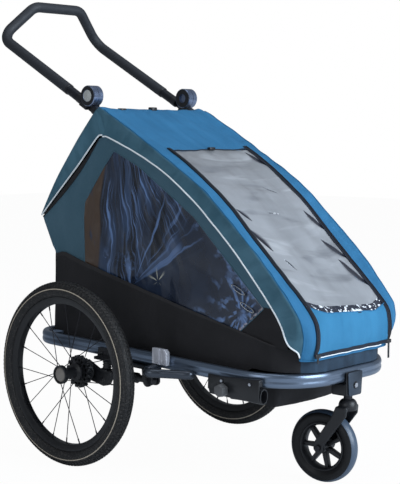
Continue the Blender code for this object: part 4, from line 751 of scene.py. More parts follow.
def piece(obj, body, slot, *nodes):
    """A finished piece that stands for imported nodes."""
    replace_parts(trim(obj, body), *nodes)
    MADE.append(obj)
    return obj


def copied(node, material):
    obj = linked(node + "_finish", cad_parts[node].data.copy())
    obj.data.materials.clear()
    obj.data.materials.append(FINISHES[material])
    return obj


def moulded(node, body, rounds):
    """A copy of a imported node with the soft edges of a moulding."""
    obj = copied(node, "black_plastic")
    skin = obj.modifiers.new("skin", "REMESH")
    skin.mode, skin.voxel_size = "VOXEL", 0.0012
    soft = obj.modifiers.new("soft", "SMOOTH")
    soft.factor, soft.iterations = 0.5, rounds
    return piece(settled(obj, 60), body, "black_plastic", node)


def refined(node, body, slot, material, ease=0.0012, angle=30):
    """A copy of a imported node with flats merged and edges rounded."""
    obj = copied(node, material)
    bm = bmesh.new()
    bm.from_mesh(obj.data)
    bmesh.ops.remove_doubles(bm, verts=bm.verts, dist=2e-5)
    bmesh.ops.dissolve_limit(bm, angle_limit=math.radians(1.5), verts=bm.verts, edges=bm.edges)
    bm.to_mesh(obj.data)
    bm.free()
    return piece(settled(bevelled(obj, ease, angle)), body, slot, node)

# %% [markdown]
# ## Small hard parts
#
# Arms, brackets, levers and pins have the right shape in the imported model. The arm and the fork are
# mouldings: they are remeshed and smoothed. The others only get eased edges.

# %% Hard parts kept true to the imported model
for side, sign in SIDES:
    moulded(f"swing_arm_{side}", f"arm_{side}", 6)
    refined(f"suspension_bracket_{side}", "base", "black_plastic", "black_plastic", 0.0010)
    spring = refined(f"elastomer_{side}", "base", "spring_rubber", "spring_rubber", 0.0006)
    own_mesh(spring)
    refined(f"brake_pin_{side}", f"brake_pin_{side}", "plated_steel", "plated_steel", 0.0004)
    refined(f"knee_lever_{side}", f"knee_lever_{side}", "plated_steel", "plated_steel", 0.0008)
    refined(f"side_reflector_{side}", "base", "silver_reflector", "reflector", 0.0008)
    refined(f"hub_button_{side}", f"hub_button_{side}", "grey_plastic", "hub_cap", 0.0006)
for node, body in (
    ("rear_cross_tube", "base"), ("rear_frame", "posts"),
    ("rear_strut", "strut"), ("hoop_cross_tube", "hoop"),
):
    refined(node, body, "black_tube", "black_tube", 0.0010, 48)
for node, body in (
    ("brake_pedal", "pedal"), ("drawbar_socket", "base"),
    ("seat_back_board", "seat_back"), ("harness_buckle", "seat_back"),
):
    refined(node, body, "black_plastic", "black_plastic", 0.0014)
moulded("caster_fork", "caster", 40)
refined("caster_bracket", "base", "black_plastic", "black_plastic", 0.0032)
refined("caster_axle", "caster", "plated_steel", "dark_steel", 0.0008)
refined("drawbar_plunger", "plunger", "grey_plastic", "knob_grey", 0.0018)
print(len(MADE), "refined pieces")

# %% [markdown]
# ## Rail and tubes
#
# The base rail is one aluminium extrusion bent into a ring: a tall oval with a shallow waist on both
# flanks. The waist is what splits the sky's reflection into an upper and a lower band.

# %% Base rail
HOOP_PIVOT, HOOP_X, POST_PIVOT = (-0.642, 0.356), 0.190, (0.250, 0.281)


def rail_section(steps=40):
    """A tall oval, pinched by the waist; its tube runs level."""
    points = []
    for angle in np.linspace(0, 2 * math.pi, steps, endpoint=False) + math.pi / steps:
        lift = 0.018 * math.copysign(abs(math.sin(angle)) ** 0.9, math.sin(angle))
        reach = 0.011 * math.copysign(abs(math.cos(angle)) ** 0.6, math.cos(angle))
        waist = 0.0020 * math.exp(-((lift / 0.0042) ** 2))
        points.append((reach - math.copysign(waist, reach), lift))
    return np.array(points)


def rail_route(side=0.239, front=-0.688, rear=0.242, nose=0.159, tail=0.077):
    """A rounded rectangle with tighter corners at the tail."""
    flat = np.concatenate([
        arc((side - tail, rear - tail), tail, 0, 90, 16),
        arc((tail - side, rear - tail), tail, 90, 180, 16),
        arc((nose - side, front + nose), nose, 180, 270, 28),
        arc((side - nose, front + nose), nose, 270, 360, 28),
    ])
    return np.insert(flat, 2, RAIL_Z, 1)


rail = [tube("base_rail", rail_route(), rail_section(), "frame_coating", True, (0, 0, 1))]
for side, sign in SIDES:
    lug = [(-0.678, 0.3065), (-0.626, 0.3065), *arc(HOOP_PIVOT, 0.013, -10, 170, 14), (-0.668, 0.329),
           (-0.678, 0.324)]
    ear = [(0.228, 0.300), (0.250, 0.300), *arc(POST_PIVOT, 0.007, 20, -160, 12)]
    for outline, near, far in ((lug, 0.1145, 0.1183), (ear, 0.036, 0.040)):
        rail.append(prism("lug", outline, sign * near, sign * far, "frame_coating", 0.0006))
    for near, far, axle, radius in ((0.116, 0.144, HOOP_PIVOT, 0.005), (0.030, 0.038, POST_PIVOT, 0.003)):
        rail.append(rod("lug_pin", (sign * near, *axle), (sign * far, *axle), radius, "frame_coating"))
rail = piece(joined("base_rail", rail, LEVEL), "base", "frame_coating", "base_ring")
print("rail", len(rail.data.polygons), "faces")

# %% [markdown]
# ## Wheel deflectors
#
# A bent bar ahead of each wheel keeps posts out of its spokes. It is one tube along a smooth line.

# %% Wheel deflectors
GUARD = ((0.2506, -0.380), (0.2620, -0.3765), (0.278, -0.352), (0.300, -0.318), (0.318, -0.290),
         (0.300, -0.268), (0.2700, -0.2625), (0.2506, -0.262))
for side, sign in SIDES:
    route = smooth_line([(sign * x, y, 0.295) for x, y in GUARD], 60)
    guard = moved(tube(f"deflector_{side}", route, ring(0.0100, 24, 1.15), "guard_coating"), LEVEL)
    piece(guard, "base", "frame_coating", f"wheel_deflector_{side}")

# %% [markdown]
# ## Folding hoop and push handle
#
# Two bent tubes carry the roof from the rear hinges to the nose, where they draw together inside the
# rounded tub. The handle is one tube bent four times, sleeved in foam. Its hinge is a half lap of two
# discs with a button through them.

# %% Side-view lines of the cabin, level frame
ROOF_EDGE = (
    (0.0300, 0.9650), (0.0190, 0.9665), (-0.0180, 0.9495), (-0.1096, 0.9040), (-0.1985, 0.8570),
    (-0.2869, 0.8097), (-0.3683, 0.7622), (-0.4284, 0.7141), (-0.4876, 0.6659), (-0.5441, 0.6177),
    (-0.5949, 0.5693), (-0.6417, 0.5207), (-0.6851, 0.4721), (-0.6976, 0.4424), (-0.7015, 0.4226),
    (-0.7010, 0.4025), (-0.6960, 0.3660),
)
ZIP_LINE = (
    (0.0300, 0.9600), (0.0190, 0.9620), (-0.0180, 0.9465), (-0.1096, 0.9010), (-0.2210, 0.8476),
    (-0.2867, 0.8097), (-0.3588, 0.7619), (-0.4224, 0.7139), (-0.4747, 0.6655), (-0.5288, 0.6172),
    (-0.5829, 0.5689), (-0.6370, 0.5206), (-0.6855, 0.4721), (-0.6988, 0.4425), (-0.7015, 0.4026),
    (-0.6965, 0.3660),
)
FRONT_PIPING = (
    (0.0053, 0.8873), (-0.0222, 0.8831), (-0.1667, 0.8298), (-0.3061, 0.7533), (-0.4699, 0.6210),
    (-0.5870, 0.5022), (-0.6287, 0.4484), (-0.6551, 0.4048), (-0.6852, 0.3879), (-0.6960, 0.3760),
)
REAR_PIPING = ((0.0053, 0.8873), (0.0248, 0.8801), (0.0956, 0.8055), (0.1769, 0.7253), (0.2508, 0.6511))
REAR_EDGE = (
    (0.0345, 0.9600), (0.0492, 0.9466), (0.1100, 0.8750), (0.1780, 0.7874), (0.2220, 0.7180),
    (0.2569, 0.6569),
)
BELLY_EDGE = (
    (0.2540, 0.6540), (0.2479, 0.6346), (0.2124, 0.5714), (0.1991, 0.5468), (0.1951, 0.4436),
    (0.1933, 0.3315),
)
TUB_EDGE = (
    (0.1930, 0.5484), (0.1578, 0.5587), (0.0750, 0.5374), (-0.2484, 0.4680), (-0.4921, 0.4207),
    (-0.6250, 0.3945), (-0.6600, 0.3850), (-0.7040, 0.3820),
)
TUB_BOTTOM = (
    (0.1930, 0.3315), (0.1450, 0.3315), (0.1380, 0.3020), (-0.5000, 0.3020), (-0.5400, 0.3315),
    (-0.7040, 0.3315),
)
SIDE_WINDOW = (
    (-0.0346, 0.8498), (0.0072, 0.7990), (0.0772, 0.7038), (0.0804, 0.6618), (0.0738, 0.5300),
    (-0.2484, 0.4600), (-0.4921, 0.4127), (-0.5718, 0.4844), (-0.4615, 0.5798), (-0.3323, 0.6933),
    (-0.1270, 0.8139),
)
HANDLE_FOOT, HANDLE_BEND, HANDLE_BAR = (0.0812, 0.9711), (0.460, 1.1630), (0.430, 1.257)
HINGE_CENTRE, ROOF_RUN = (0.0686, 0.9965), np.array((0.895, 0.446))
HANDLE_RUN = np.subtract(HANDLE_BEND, HANDLE_FOOT) / math.dist(HANDLE_BEND, HANDLE_FOOT)

# %% [markdown]
# ## Hoop tubes
#
# Each tube follows the roof on its inside, dives behind the nose and draws in to its pivot eye.

# %% Hoop tubes
NECK_Z, HOOP_FOOT_X, SIDE_X = 0.540, 0.132, 0.2086


def hoop_path():
    """Side view of a hoop tube: out of the handle hinge, along under the roof, down to its foot."""
    roof = np.array(ROOF_EDGE[4:-3])
    run = unit(np.gradient(roof, axis=0))
    roof = roof + np.stack([-run[:, 1], run[:, 0]], 1) * 0.0215
    top = [HANDLE_FOOT - ROOF_RUN * reach for reach in (0.0455, 0.110)]
    return smooth_line([*top, *roof, (-0.678, 0.420), (-0.657, 0.378), (-0.647, 0.3645)], 90)


line = hoop_path()
share = np.clip((NECK_Z - line[:, 1]) / (NECK_Z - HOOP_PIVOT[1]), 0, 1)
drawn_in = HOOP_X + (HOOP_FOOT_X - HOOP_X) * share * share * (3 - 2 * share)
EYE = [(0.0053, -0.0130), (0.0132, -0.0130), (0.0132, 0.0130), (0.0053, 0.0130)]
for side, sign in SIDES:
    bent = tube("bent", np.insert(line, 0, sign * drawn_in, 1), 0.0124, "black_tube")
    eye = turned("eye", EYE, (sign * 0.1316, *HOOP_PIVOT), "black_tube", 32)
    piece(joined(f"hoop_{side}", [bent, eye], LEVEL), "hoop", "black_tube", f"hoop_tube_{side}")

# %% [markdown]
# ## Handle and hinges
#
# The handle is a path of straight runs with round bends. The hinge halves are turned profiles, each
# with a tongue that leads to the stub of its tube.

# %% Handle tube, foam grip and hinges
def filleted(corners, radius, steps):
    """A path of straight runs with each corner rounded to a radius."""
    route = [Vector(corners[0])]
    for before, corner, after in zip(corners, corners[1:], corners[2:]):
        corner = Vector(corner)
        into, out = (Vector(before) - corner).normalized(), (Vector(after) - corner).normalized()
        half = into.angle(out) / 2
        middle = corner + (into + out).normalized() * radius / math.sin(half)
        first = corner + into * radius / math.tan(half) - middle
        last = corner + out * radius / math.tan(half) - middle
        sweep = first.angle(last)
        for step in range(steps + 1):
            share = step / steps
            spoke = first * math.sin((1 - share) * sweep) + last * math.sin(share * sweep)
            route.append(middle + spoke / math.sin(sweep))
    return [tuple(point) for point in (*route, Vector(corners[-1]))]


def on_handle(x, reach):
    """A point of the handle tube's straight end, by its way from the hinge."""
    return (x, *(HANDLE_FOOT + HANDLE_RUN * reach))


def handle_path(start):
    near = [on_handle(-HOOP_X, start), (-HOOP_X, *HANDLE_BEND), (-0.0906, *HANDLE_BAR)]
    return filleted([*near, *((-x, y, z) for x, y, z in near[::-1])], 0.047, 14)


bare = [tube("handle_bar", handle_path(0.0453), 0.0135, "black_tube")]
foam = [tube("foam_grip", resampled(handle_path(0.091), 260), 0.0154, "grip_foam")]
for _, sign in SIDES:
    ends = (on_handle(sign * x, 0.066) for x in (0.1905, 0.2038))
    bare.append(rod("hole", *ends, 0.0034, "black_plastic"))
    ends = (on_handle(sign * HOOP_X, reach) for reach in (0.0905, 0.0960))
    foam.append(rod("collar", *ends, 0.0155, "black_plastic"))
piece(joined("handle_bar", bare, LEVEL), "handle", "black_tube", "handle_tube")
piece(joined("foam_grip", foam, LEVEL), "handle", "grip_foam", "handle_grip")

FIXED_DISC = [(0.0004, 0.1792), (0.0122, 0.1792), (0.0125, 0.1744), (0.0270, 0.1742), (0.0285, 0.1757),
              (0.0285, 0.1914), (0.0004, 0.1914)]
MOVING_DISC = [(0.0004, 0.1926), (0.0285, 0.1926), (0.0285, 0.2080), (0.0268, 0.2098), (0.0182, 0.2098),
               (0.0166, 0.2088), (0.0166, 0.2018), (0.0004, 0.2018)]
BUTTON = [(0.0004, 0.2118), (0.0060, 0.2116), (0.0072, 0.2110), (0.0120, 0.2113), (0.0152, 0.2104),
          (0.0163, 0.2088), (0.0163, 0.2056), (0.0004, 0.2056)]


def about_hinge(name, profile, material, sign, steps=72):
    return turned(name, profile, (0, *HINGE_CENTRE), material, steps, sign)


def hinge_half(name, sign, run, edges, disc, face_x, hole):
    """Disc, black face ring, tongue and tube stub of one hinge half, which points along run."""
    foot, lift = HANDLE_FOOT - run * 0.004, np.array((-run[1], run[0])) * 0.0135
    tongue = [foot - lift, foot + run * 0.031 - lift, foot + run * 0.031 + lift, foot + lift]
    ends = ((sign * HOOP_X, *(foot + run * reach)) for reach in (0.029, 0.049))
    face = [(hole, -0.0005), (0.0262, -0.0005), (0.0266, 0), (0.0262, 0.0005), (hole, 0.0005)]
    return joined(name, [
        about_hinge(name, disc, "hinge_coating", sign),
        prism("tongue", tongue, *sorted(sign * edge for edge in edges), "black_plastic", 0.0015),
        rod("stub", *ends, 0.0141, "black_plastic", 28, 0.0010),
        about_hinge("face", [(r, face_x + x) for r, x in face], "black_plastic", sign),
    ], LEVEL)


for side, sign in SIDES:
    half = hinge_half(f"hinge_inner_{side}", sign, -ROOF_RUN, (0.1777, 0.1914), FIXED_DISC, 0.1742, 0.0128)
    piece(half, "hoop", "black_plastic", f"hinge_fixed_{side}")
    half = hinge_half(f"hinge_outer_{side}", sign, HANDLE_RUN, (0.1926, 0.2022), MOVING_DISC, 0.2098, 0.0172)
    piece(half, "handle", "black_plastic", f"hinge_moving_{side}")
    button = moved(about_hinge(f"hinge_press_{side}", BUTTON, "grey_plastic", sign, 64), LEVEL)
    piece(button, f"hinge_button_{side}", "grey_plastic", f"hinge_button_{side}")
print("hinges and handle:", [obj.name for obj in MADE[-8:]])

# %% [markdown]
# ## Wheels
#
# A 20 inch wheel with a 47 mm tyre. Tread blocks, spokes with nipples and brake teeth come from the
# ring tree. A tan reflective strip runs round each sidewall.

# %% Rear wheels
HUB_X, AXLE_Z = 0.338, 0.250
SECTION, CROWN_RADIUS = 0.0229, 0.2488
RIM = [(0.2092, 0.0145), (0.2080, 0.0149), (0.2035, 0.0124), (0.2035, -0.0124), (0.2080, -0.0149),
       (0.2092, -0.0145), (0.2000, -0.0138), (0.1912, -0.0098), (0.1900, -0.0060), (0.1900, 0.0060),
       (0.1912, 0.0098), (0.2000, 0.0138)]
HUB = [(0.0250, 0.0245), (0.0243, 0.0252), (0.0214, 0.0252), (0.0205, 0.0245), (0.0205, 0.0140),
       (0.0062, 0.0140), (0.0062, -0.0550), (0.0340, -0.0550), (0.0360, -0.0530), (0.0360, -0.0410),
       (0.0200, -0.0410), (0.0200, -0.0360), (0.0245, -0.0345), (0.0245, -0.0310), (0.0155, -0.0260),
       (0.0155, 0.0095), (0.0250, 0.0140)]
TOOTH = [(0.029, -0.0045), (0.0372, -0.0052), (0.0445, -0.0030), (0.0445, 0.0030), (0.0372, 0.0052),
         (0.029, 0.0045)]
SPOKES, TEETH, PITCHES = 5, 16, 132


def on_crown(degrees, lift=0.0):
    """A (radius, distance) point of the tyre's skin, by its angle from the crown."""
    angle, reach = math.radians(degrees), SECTION + lift
    return CROWN_RADIUS - SECTION + reach * math.cos(angle), reach * math.sin(angle)


def tread_blocks():
    """One pitch of tread: five skewed blocks across the crown."""
    blocks = []
    for count, middle in enumerate((-52, -26, 0, 26, 52)):
        pad = block("tread", (-0.5, -0.5, -0.5), (0.5, 0.5, 0.5), "tyre_rubber", 0.0)
        way, ahead = (1, 0.0054) if count % 2 else (-1, 0.0)
        for vert in pad.data.vertices:
            radius, x = on_crown(middle + 20 * vert.co.x, 0.0014 if vert.co.z > 0 else -0.0008)
            vert.co = (x, radius, vert.co.y * 0.0068 + 0.0022 * way * vert.co.x + ahead)
        blocks.append(pad)
    return joined("tread", blocks)


def spoke(hub_x, rim_x, hub_radius, lean, start):
    """A spoke with its nipple, drawn about the wheel's centre."""
    turns = start + math.radians(42 * lean), start + math.radians(1.5 * lean)
    near, far = (np.array((x, radius * math.cos(turn), radius * math.sin(turn)))
                 for x, radius, turn in zip((hub_x, rim_x), (hub_radius, 0.1897), turns))
    wire = rod("spoke", near, far, 0.00115, "dark_steel", 8, 0.0002)
    nipple = rod("nipple", far - unit(far - near) * 0.013, far, 0.0019, "dark_steel", 8, 0.0004)
    return joined("spoke", [wire, nipple])


def rear_wheel(side, sign):
    centre, body = (sign * HUB_X, 0, AXLE_Z), f"wheel_{side}"
    skin = [(0.2038, -0.0114), (0.2098, -0.0138), *map(on_crown, np.linspace(-130, 130, 30)),
            (0.2098, 0.0138), (0.2038, 0.0114)]
    parts = [turned("tyre", skin, centre, "tyre_rubber", 160, sign),
             round_axle(tread_blocks(), PITCHES, centre, "tyre_rubber")]
    strip = [on_crown(angle, lift) for angle, lift in
             ((81, 0.0004), (78, 0.0004), (75, 0.0004), (75, -0.0006), (81, -0.0006))]
    for way in (1, -1):
        parts.append(turned("strip", [(r, x * way) for r, x in strip], centre, "tan_strip", 160, sign))
    piece(joined(f"tyre_body_{side}", parts, UPRIGHT), body, "tyre_rubber", f"tyre_{side}")
    rim = turned(f"rim_body_{side}", RIM, centre, "rim_black", 160, sign)
    piece(moved(rim, UPRIGHT), body, "black_tube", f"rim_{side}")
    parts = [turned("hub", HUB, centre, "black_plastic", 64, sign)]
    for inner, (hub_x, rim_x, radius) in enumerate(((0.0145, 0.003, 0.0205), (-0.0328, -0.003, 0.0215))):
        for lean in (1, -1):
            start = 2 * math.pi * (0.5 * (lean > 0) + 0.25 * inner) / SPOKES
            wire = spoke(sign * (hub_x + 0.001 * lean), sign * rim_x, radius, lean, start)
            parts.append(round_axle(wire, SPOKES, centre, "dark_steel"))
    tooth = prism("tooth", TOOTH, *sorted((sign * -0.0410, sign * -0.0550)), "black_plastic", 0.0006)
    tooth = moved(tooth, Matrix.Rotation(math.pi / TEETH, 4, "X"))
    parts.append(round_axle(tooth, TEETH, centre, "black_plastic"))
    piece(joined(f"hub_body_{side}", parts, UPRIGHT), body, "black_plastic", f"hub_{side}")


for side, sign in SIDES:
    rear_wheel(side, sign)
print("wheels", [len(MADE[-k].data.polygons) for k in (1, 2, 3)], "faces")

# %% [markdown]
# ## Caster wheel
#
# A small wheel in a fork whose axle trails the stem, so that it steers itself. It is drawn straight
# ahead and then turned by the few degrees at which the photograph caught it.

# %% Caster wheel
STEM_Y, CASTER = -0.6865, (0.0, -0.6185, 0.0946)
STEERED = (
    UPRIGHT @ Matrix.Translation((0, STEM_Y, 0)) @ Matrix.Rotation(math.radians(6.5), 4, "Z")
    @ Matrix.Translation((0, -STEM_Y, 0))
)
CASTER_RING = [(0.0637, 0.0160), (0.0622, 0.0172), (0.0600, 0.0170), (0.0560, 0.0125), (0.0552, 0.0),
               (0.0560, -0.0125), (0.0600, -0.0170), (0.0622, -0.0172), (0.0637, -0.0160)]
CASTER_HUB = [(0.0053, -0.0245), (0.0140, -0.0245), (0.0152, -0.0232), (0.0158, -0.0120),
              (0.0158, 0.0120), (0.0152, 0.0232), (0.0140, 0.0245), (0.0053, 0.0245)]
CASTER_SPOKE = [(0.0120, -0.0064), (0.0585, -0.0046), (0.0585, 0.0046), (0.0120, 0.0064)]


def oval_arc(start, end, steps, middle, reach, half):
    """A stretch of an oval section, as (radius, distance) points."""
    angles = np.radians(np.linspace(start, end, steps))
    return [(middle + reach * math.sin(angle), half * math.cos(angle)) for angle in angles]


def bolt(seat, way, head, washer, ease):
    """A hexagon head on its washer, each a (radius, height)."""
    (radius, height), (rim, thick) = head, washer
    return [rod("bolt", seat, np.add(seat, np.multiply(way, height)), radius, "plated_steel", 6, ease),
            rod("washer", seat, np.add(seat, np.multiply(way, thick)), rim, "dark_steel", 32, 0.0003)]


skin = [(0.0640, 0.0150), *oval_arc(-20, 200, 30, 0.0776, 0.0167, 0.0207), (0.0640, -0.0150)]
# The tread band is the same rubber in a lighter, bluer colour: a painted highlight where it faces the front
# window.
strip = [*oval_arc(40, 140, 24, 0.0776, 0.0170, 0.0210), *oval_arc(140, 40, 24, 0.0776, 0.0160, 0.0200)]
tyre = [turned("skin", skin, CASTER, "caster_rubber", 96),
        turned("strip", strip, CASTER, "caster_tread", 96)]
piece(joined("caster_tyre_body", tyre, STEERED), "caster_wheel", "tyre_rubber", "caster_tyre")
wheel = [turned("ring", CASTER_RING, CASTER, "black_plastic", 96),
         turned("hub", CASTER_HUB, CASTER, "black_plastic", 48)]
arm = prism("spoke", CASTER_SPOKE, -0.0085, 0.0085, "black_plastic", 0.0014)
wheel.append(round_axle(arm, 7, CASTER, "black_plastic"))
piece(joined("caster_wheel_body", wheel, STEERED), "caster_wheel", "black_plastic", "caster_rim")

dome = [(r, 0.2070 + x) for r, x in oval_arc(0, 90, 12, 0.0105, 0.0137, 0.0185)]
dome += [(0.0240, 0.1995), (0.0225, 0.1968), (0.0105, 0.1962)]
crown = turned("fork_crown", dome, (0, STEM_Y, 0), "black_plastic", 48)
neck = [rod("neck", (0, STEM_Y, 0.2215), (0, STEM_Y, 0.2366), 0.0112, "dark_steel", 32, 0.0015),
        moved(crown, Matrix.Rotation(math.radians(-90), 4, "Y"))]
trim(joined("caster_neck", neck, UPRIGHT), "caster")

# %% [markdown]
# ## Pressed sheet and bolts
#
# The caster bracket and the drawbar socket are bolted on through plates with soft corners. Thin
# prisms and six-sided rods are enough for them.

# %% Bracket sheet and socket plate
low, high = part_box("caster_bracket")
face = soft_corners([(-0.031, high.z), (-0.026, low.z), (0.026, low.z), (0.031, high.z)], 0.0065)
pressed = prism("bracket_sheet", face, -low.y - 0.0010, -low.y + 0.0018, "bracket_coating", 0.0010)
seat = (0, low.y + 0.001, (low.z + high.z) / 2 - 0.004)
parts = bolt(seat, (0, -1, 0), (0.0072, 0.0064), (0.0095, 0.0036), 0.0008)
parts.append(moved(pressed, Matrix.Rotation(math.radians(-90), 4, "Z")))
trim(joined("bracket_bolt", parts), "base")
PLATE = [(-0.4580, 0.3070), (-0.4620, 0.2900), (-0.5110, 0.2880), (-0.5180, 0.2580), (-0.6090, 0.2640),
         (-0.6100, 0.3190)]
FLANGE = [(-0.4600, 0.3065), (-0.4600, 0.2960), (-0.6080, 0.3000), (-0.6080, 0.3185)]
parts = [prism("plate", soft_corners(PLATE, 0.0050), -0.2616, -0.2592, "black_plastic", 0.0008),
         prism("flange", soft_corners(FLANGE, 0.0030), -0.2600, -0.2460, "black_plastic", 0.0008)]
for y, z in ((-0.4890, 0.2985), (-0.5800, 0.3040)):
    parts += bolt((-0.2600, y, z), (-1, 0, 0), (0.0046, 0.0040), (0.0070, 0.0024), 0.0010)
trim(joined("socket_plate", parts, LEVEL), "base")
print("bracket", [round(v, 4) for v in (*low, *high)])

# %% [markdown]
# ## Canopy
#
# One continuous sheet runs from the silver piping on one side, over the shoulder and the roof, down to
# the piping on the other side. The nose corners round off towards the hem. Small creases run with the
# slope, where the cloth is stretched between the hoop tubes.

# %% Canopy sheet
ROWS, SKIRT, CROWN = 150, 16, 46
FILM, LINING, CLOTH, CANVAS = 0.0006, 0.0010, 0.0012, 0.0020


def heights(line, z):
    """Depth of a falling side-view line at given heights."""
    line = np.asarray(line, float)[2:][::-1]
    return np.interp(z, line[:, 1], line[:, 0])


def rounded_nose(points):
    """Draws the nose corners in, more and more towards the hem."""
    x, y, z = points[..., 0], points[..., 1], points[..., 2]
    share = np.clip((NECK_Z - z) / (NECK_Z - 0.366), 0, 1)
    radius = 0.006 + 0.079 * share ** 2.3
    cx, cy = SIDE_X - radius, heights(ROOF_EDGE, z) + radius
    ax, ay = np.abs(x) - cx, y - cy
    length = np.maximum(np.hypot(ax, ay), 1e-9)
    pull = np.minimum(radius / length, 1)
    corner = (share > 0) & (ax > 0) & (ay < 0)
    x = np.where(corner, np.sign(x) * (cx + ax * pull), x)
    y = np.where(corner, cy + ay * pull, y)
    return np.stack([x, y, z], -1)


def normals(points):
    return unit(np.cross(np.gradient(points, axis=0), np.gradient(points, axis=1)))


def wrinkled(points, size, scale, seed=0.0, stretch=(1, 1, 1)):
    """Moves points along the sheet's normal by smooth noise."""
    flat = points.reshape(-1, 3) * np.array(stretch) * scale + seed
    lift = np.array([noise.noise(Vector(point)) for point in flat]).reshape(points.shape[:2])
    return points + normals(points) * np.asarray(lift * size)[..., None]


def outwards(vectors):
    """The way that most of the vectors must be turned, to point up and to the front."""
    return np.sign((vectors * (0, -0.6, 0.8)).sum(-1).mean())


def lifted(points, distance):
    """A sheet moved outwards along its own normals."""
    return points + normals(points) * outwards(normals(points)) * distance


def both_sides(half):
    """A row of points from one side to the middle, with its mirror image."""
    half = np.array(half)
    return np.concatenate([half, half[-2::-1] * (-1, 1, 1)])


def canopy_points():
    """Rows across the canopy, from the roof's rear edge to the nose hem."""
    edge, zips = smooth_line(ROOF_EDGE, ROWS), smooth_line(ZIP_LINE, ROWS)
    shares = np.clip((np.linspace(0, 1, ROWS) - 0.055) / 0.945, 0, 1)
    piping = smooth_line(FRONT_PIPING, 400)[(shares * 399).astype(int)]
    bow = SIDE_X - 0.0016 * np.sin(np.linspace(0, math.pi, SKIRT))
    rows = []
    for e, q, p in zip(edge, zips, piping):
        drop = p - e
        shoulder = e + drop / max(np.linalg.norm(drop), 1e-6) * min(0.006, np.linalg.norm(drop) * 0.3)
        half = [(x, *point) for x, point in zip(bow, np.linspace(p, shoulder, SKIRT))]
        half += [(0.2074, *(shoulder * 0.3 + e * 0.7)), (0.2041, *e)]
        half += [(x, *(e + (q - e) * k)) for x, k in ((0.196, 0.25), (0.184, 0.5), (0.171, 0.8))]
        half += [(x, *q) for x in np.linspace(0.159, 0.0, CROWN // 2)]
        rows.append(both_sides(half))
    return rounded_nose(np.array(rows))


CANOPY = canopy_points()
SKIRTS = np.abs(CANOPY[..., 0]) > 0.196
BORDERS = (np.abs(CANOPY[..., 0]) > 0.172) & ~SKIRTS
CANOPY = wrinkled(CANOPY, 0.0030, 26.0, 3.0, (1, 0.16, 0.16))
CANOPY = wrinkled(CANOPY, np.where(SKIRTS, 0.0030, 0.0010), 22.0, 8.0, (0.3, 1, 1))
CANOPY = wrinkled(CANOPY, np.where(BORDERS, 0.0034, 0.0004), 42.0, 5.0, (0.3, 1, 1))
ZIP_COLUMN = SKIRT + 5
COLUMNS = CANOPY.shape[1]
middle_z = CANOPY[:, COLUMNS // 2, 2]
WINDOW_TOP, WINDOW_SILL = int(np.argmax(middle_z < 0.856)), int(np.argmax(middle_z < 0.384))


def outside_window(i, j):
    within = (j >= ZIP_COLUMN) & (j < COLUMNS - 1 - ZIP_COLUMN) & (i >= WINDOW_TOP) & (i < WINDOW_SILL)
    return ~within


def sheet(name, points, material, thickness, offset=0.0, **options):
    """A sheet of cloth or film, drawn level."""
    return thickened(grid_piece(name, placed(points, LEVEL), material, **options), thickness, offset)


canopy = sheet(
    "canopy_cloth", CANOPY, ("roof_blue", "skirt_teal"), CLOTH, -1.0, keep=outside_window,
    zones=lambda i, j: np.where((j < SKIRT) | (j >= COLUMNS - 1 - SKIRT), 1, 0),
)
piece(canopy, "hoop", "roof_fabric", "canopy")
print("canopy", len(canopy.data.polygons), "faces, window rows", WINDOW_TOP, "to", WINDOW_SILL)

# %% [markdown]
# ## Front window
#
# Clear film between two zips. It is drawn on the canopy's own surface, so that film and cloth run
# into each other. Its creases are listed one by one, pressed in, and stored on it for the finish.

# %% Front window, lower flap and zips
ACROSS = slice(ZIP_COLUMN, COLUMNS - ZIP_COLUMN)
FRONT = CANOPY[WINDOW_TOP - 3:WINDOW_SILL + 3, ACROSS]
CREASES = (
    (-0.142, 0.715, -0.112, 0.688, 0.0034), (-0.145, 0.669, -0.121, 0.618, 0.0050),
    (0.124, 0.700, 0.151, 0.655, 0.0060), (0.104, 0.630, 0.151, 0.586, 0.0070),
    (0.112, 0.582, 0.151, 0.520, 0.0078), (0.134, 0.850, 0.151, 0.818, 0.0050),
    (-0.030, 0.703, 0.010, 0.697, 0.0010), (0.050, 0.765, 0.085, 0.748, 0.0010),
    (-0.105, 0.596, -0.090, 0.572, 0.0015),
)


FILM_COLUMNS, STEEPNESS = 120, 1.5


def film_sheet(top, bottom, rows, columns, lift):
    """A patch of the window's face between two heights, given for each place across."""
    share = np.linspace(0, FRONT.shape[1] - 1, columns)
    low = share.astype(int).clip(0, FRONT.shape[1] - 2)
    part = (share - low)[None, :, None]
    lines = FRONT[::-1, low] * (1 - part) + FRONT[::-1, low + 1] * part
    out = np.empty((rows, columns, 3))
    for k in range(columns):
        line = lines[:, k]
        z = np.linspace(top(line[0, 0]), bottom(line[0, 0]), rows)
        out[:, k] = np.stack([np.interp(z, line[:, 2], line[:, axis]) for axis in range(3)], 1)
    return lifted(out, lift)


def lower_edge(x):
    """Height at which the film ends; its corners turn up to the zips."""
    return 0.4690 - 0.06 * x + 0.9 * max(0.0, abs(x) - 0.085) ** 1.5


def above_edge(rise):
    return lambda x: lower_edge(x) + rise


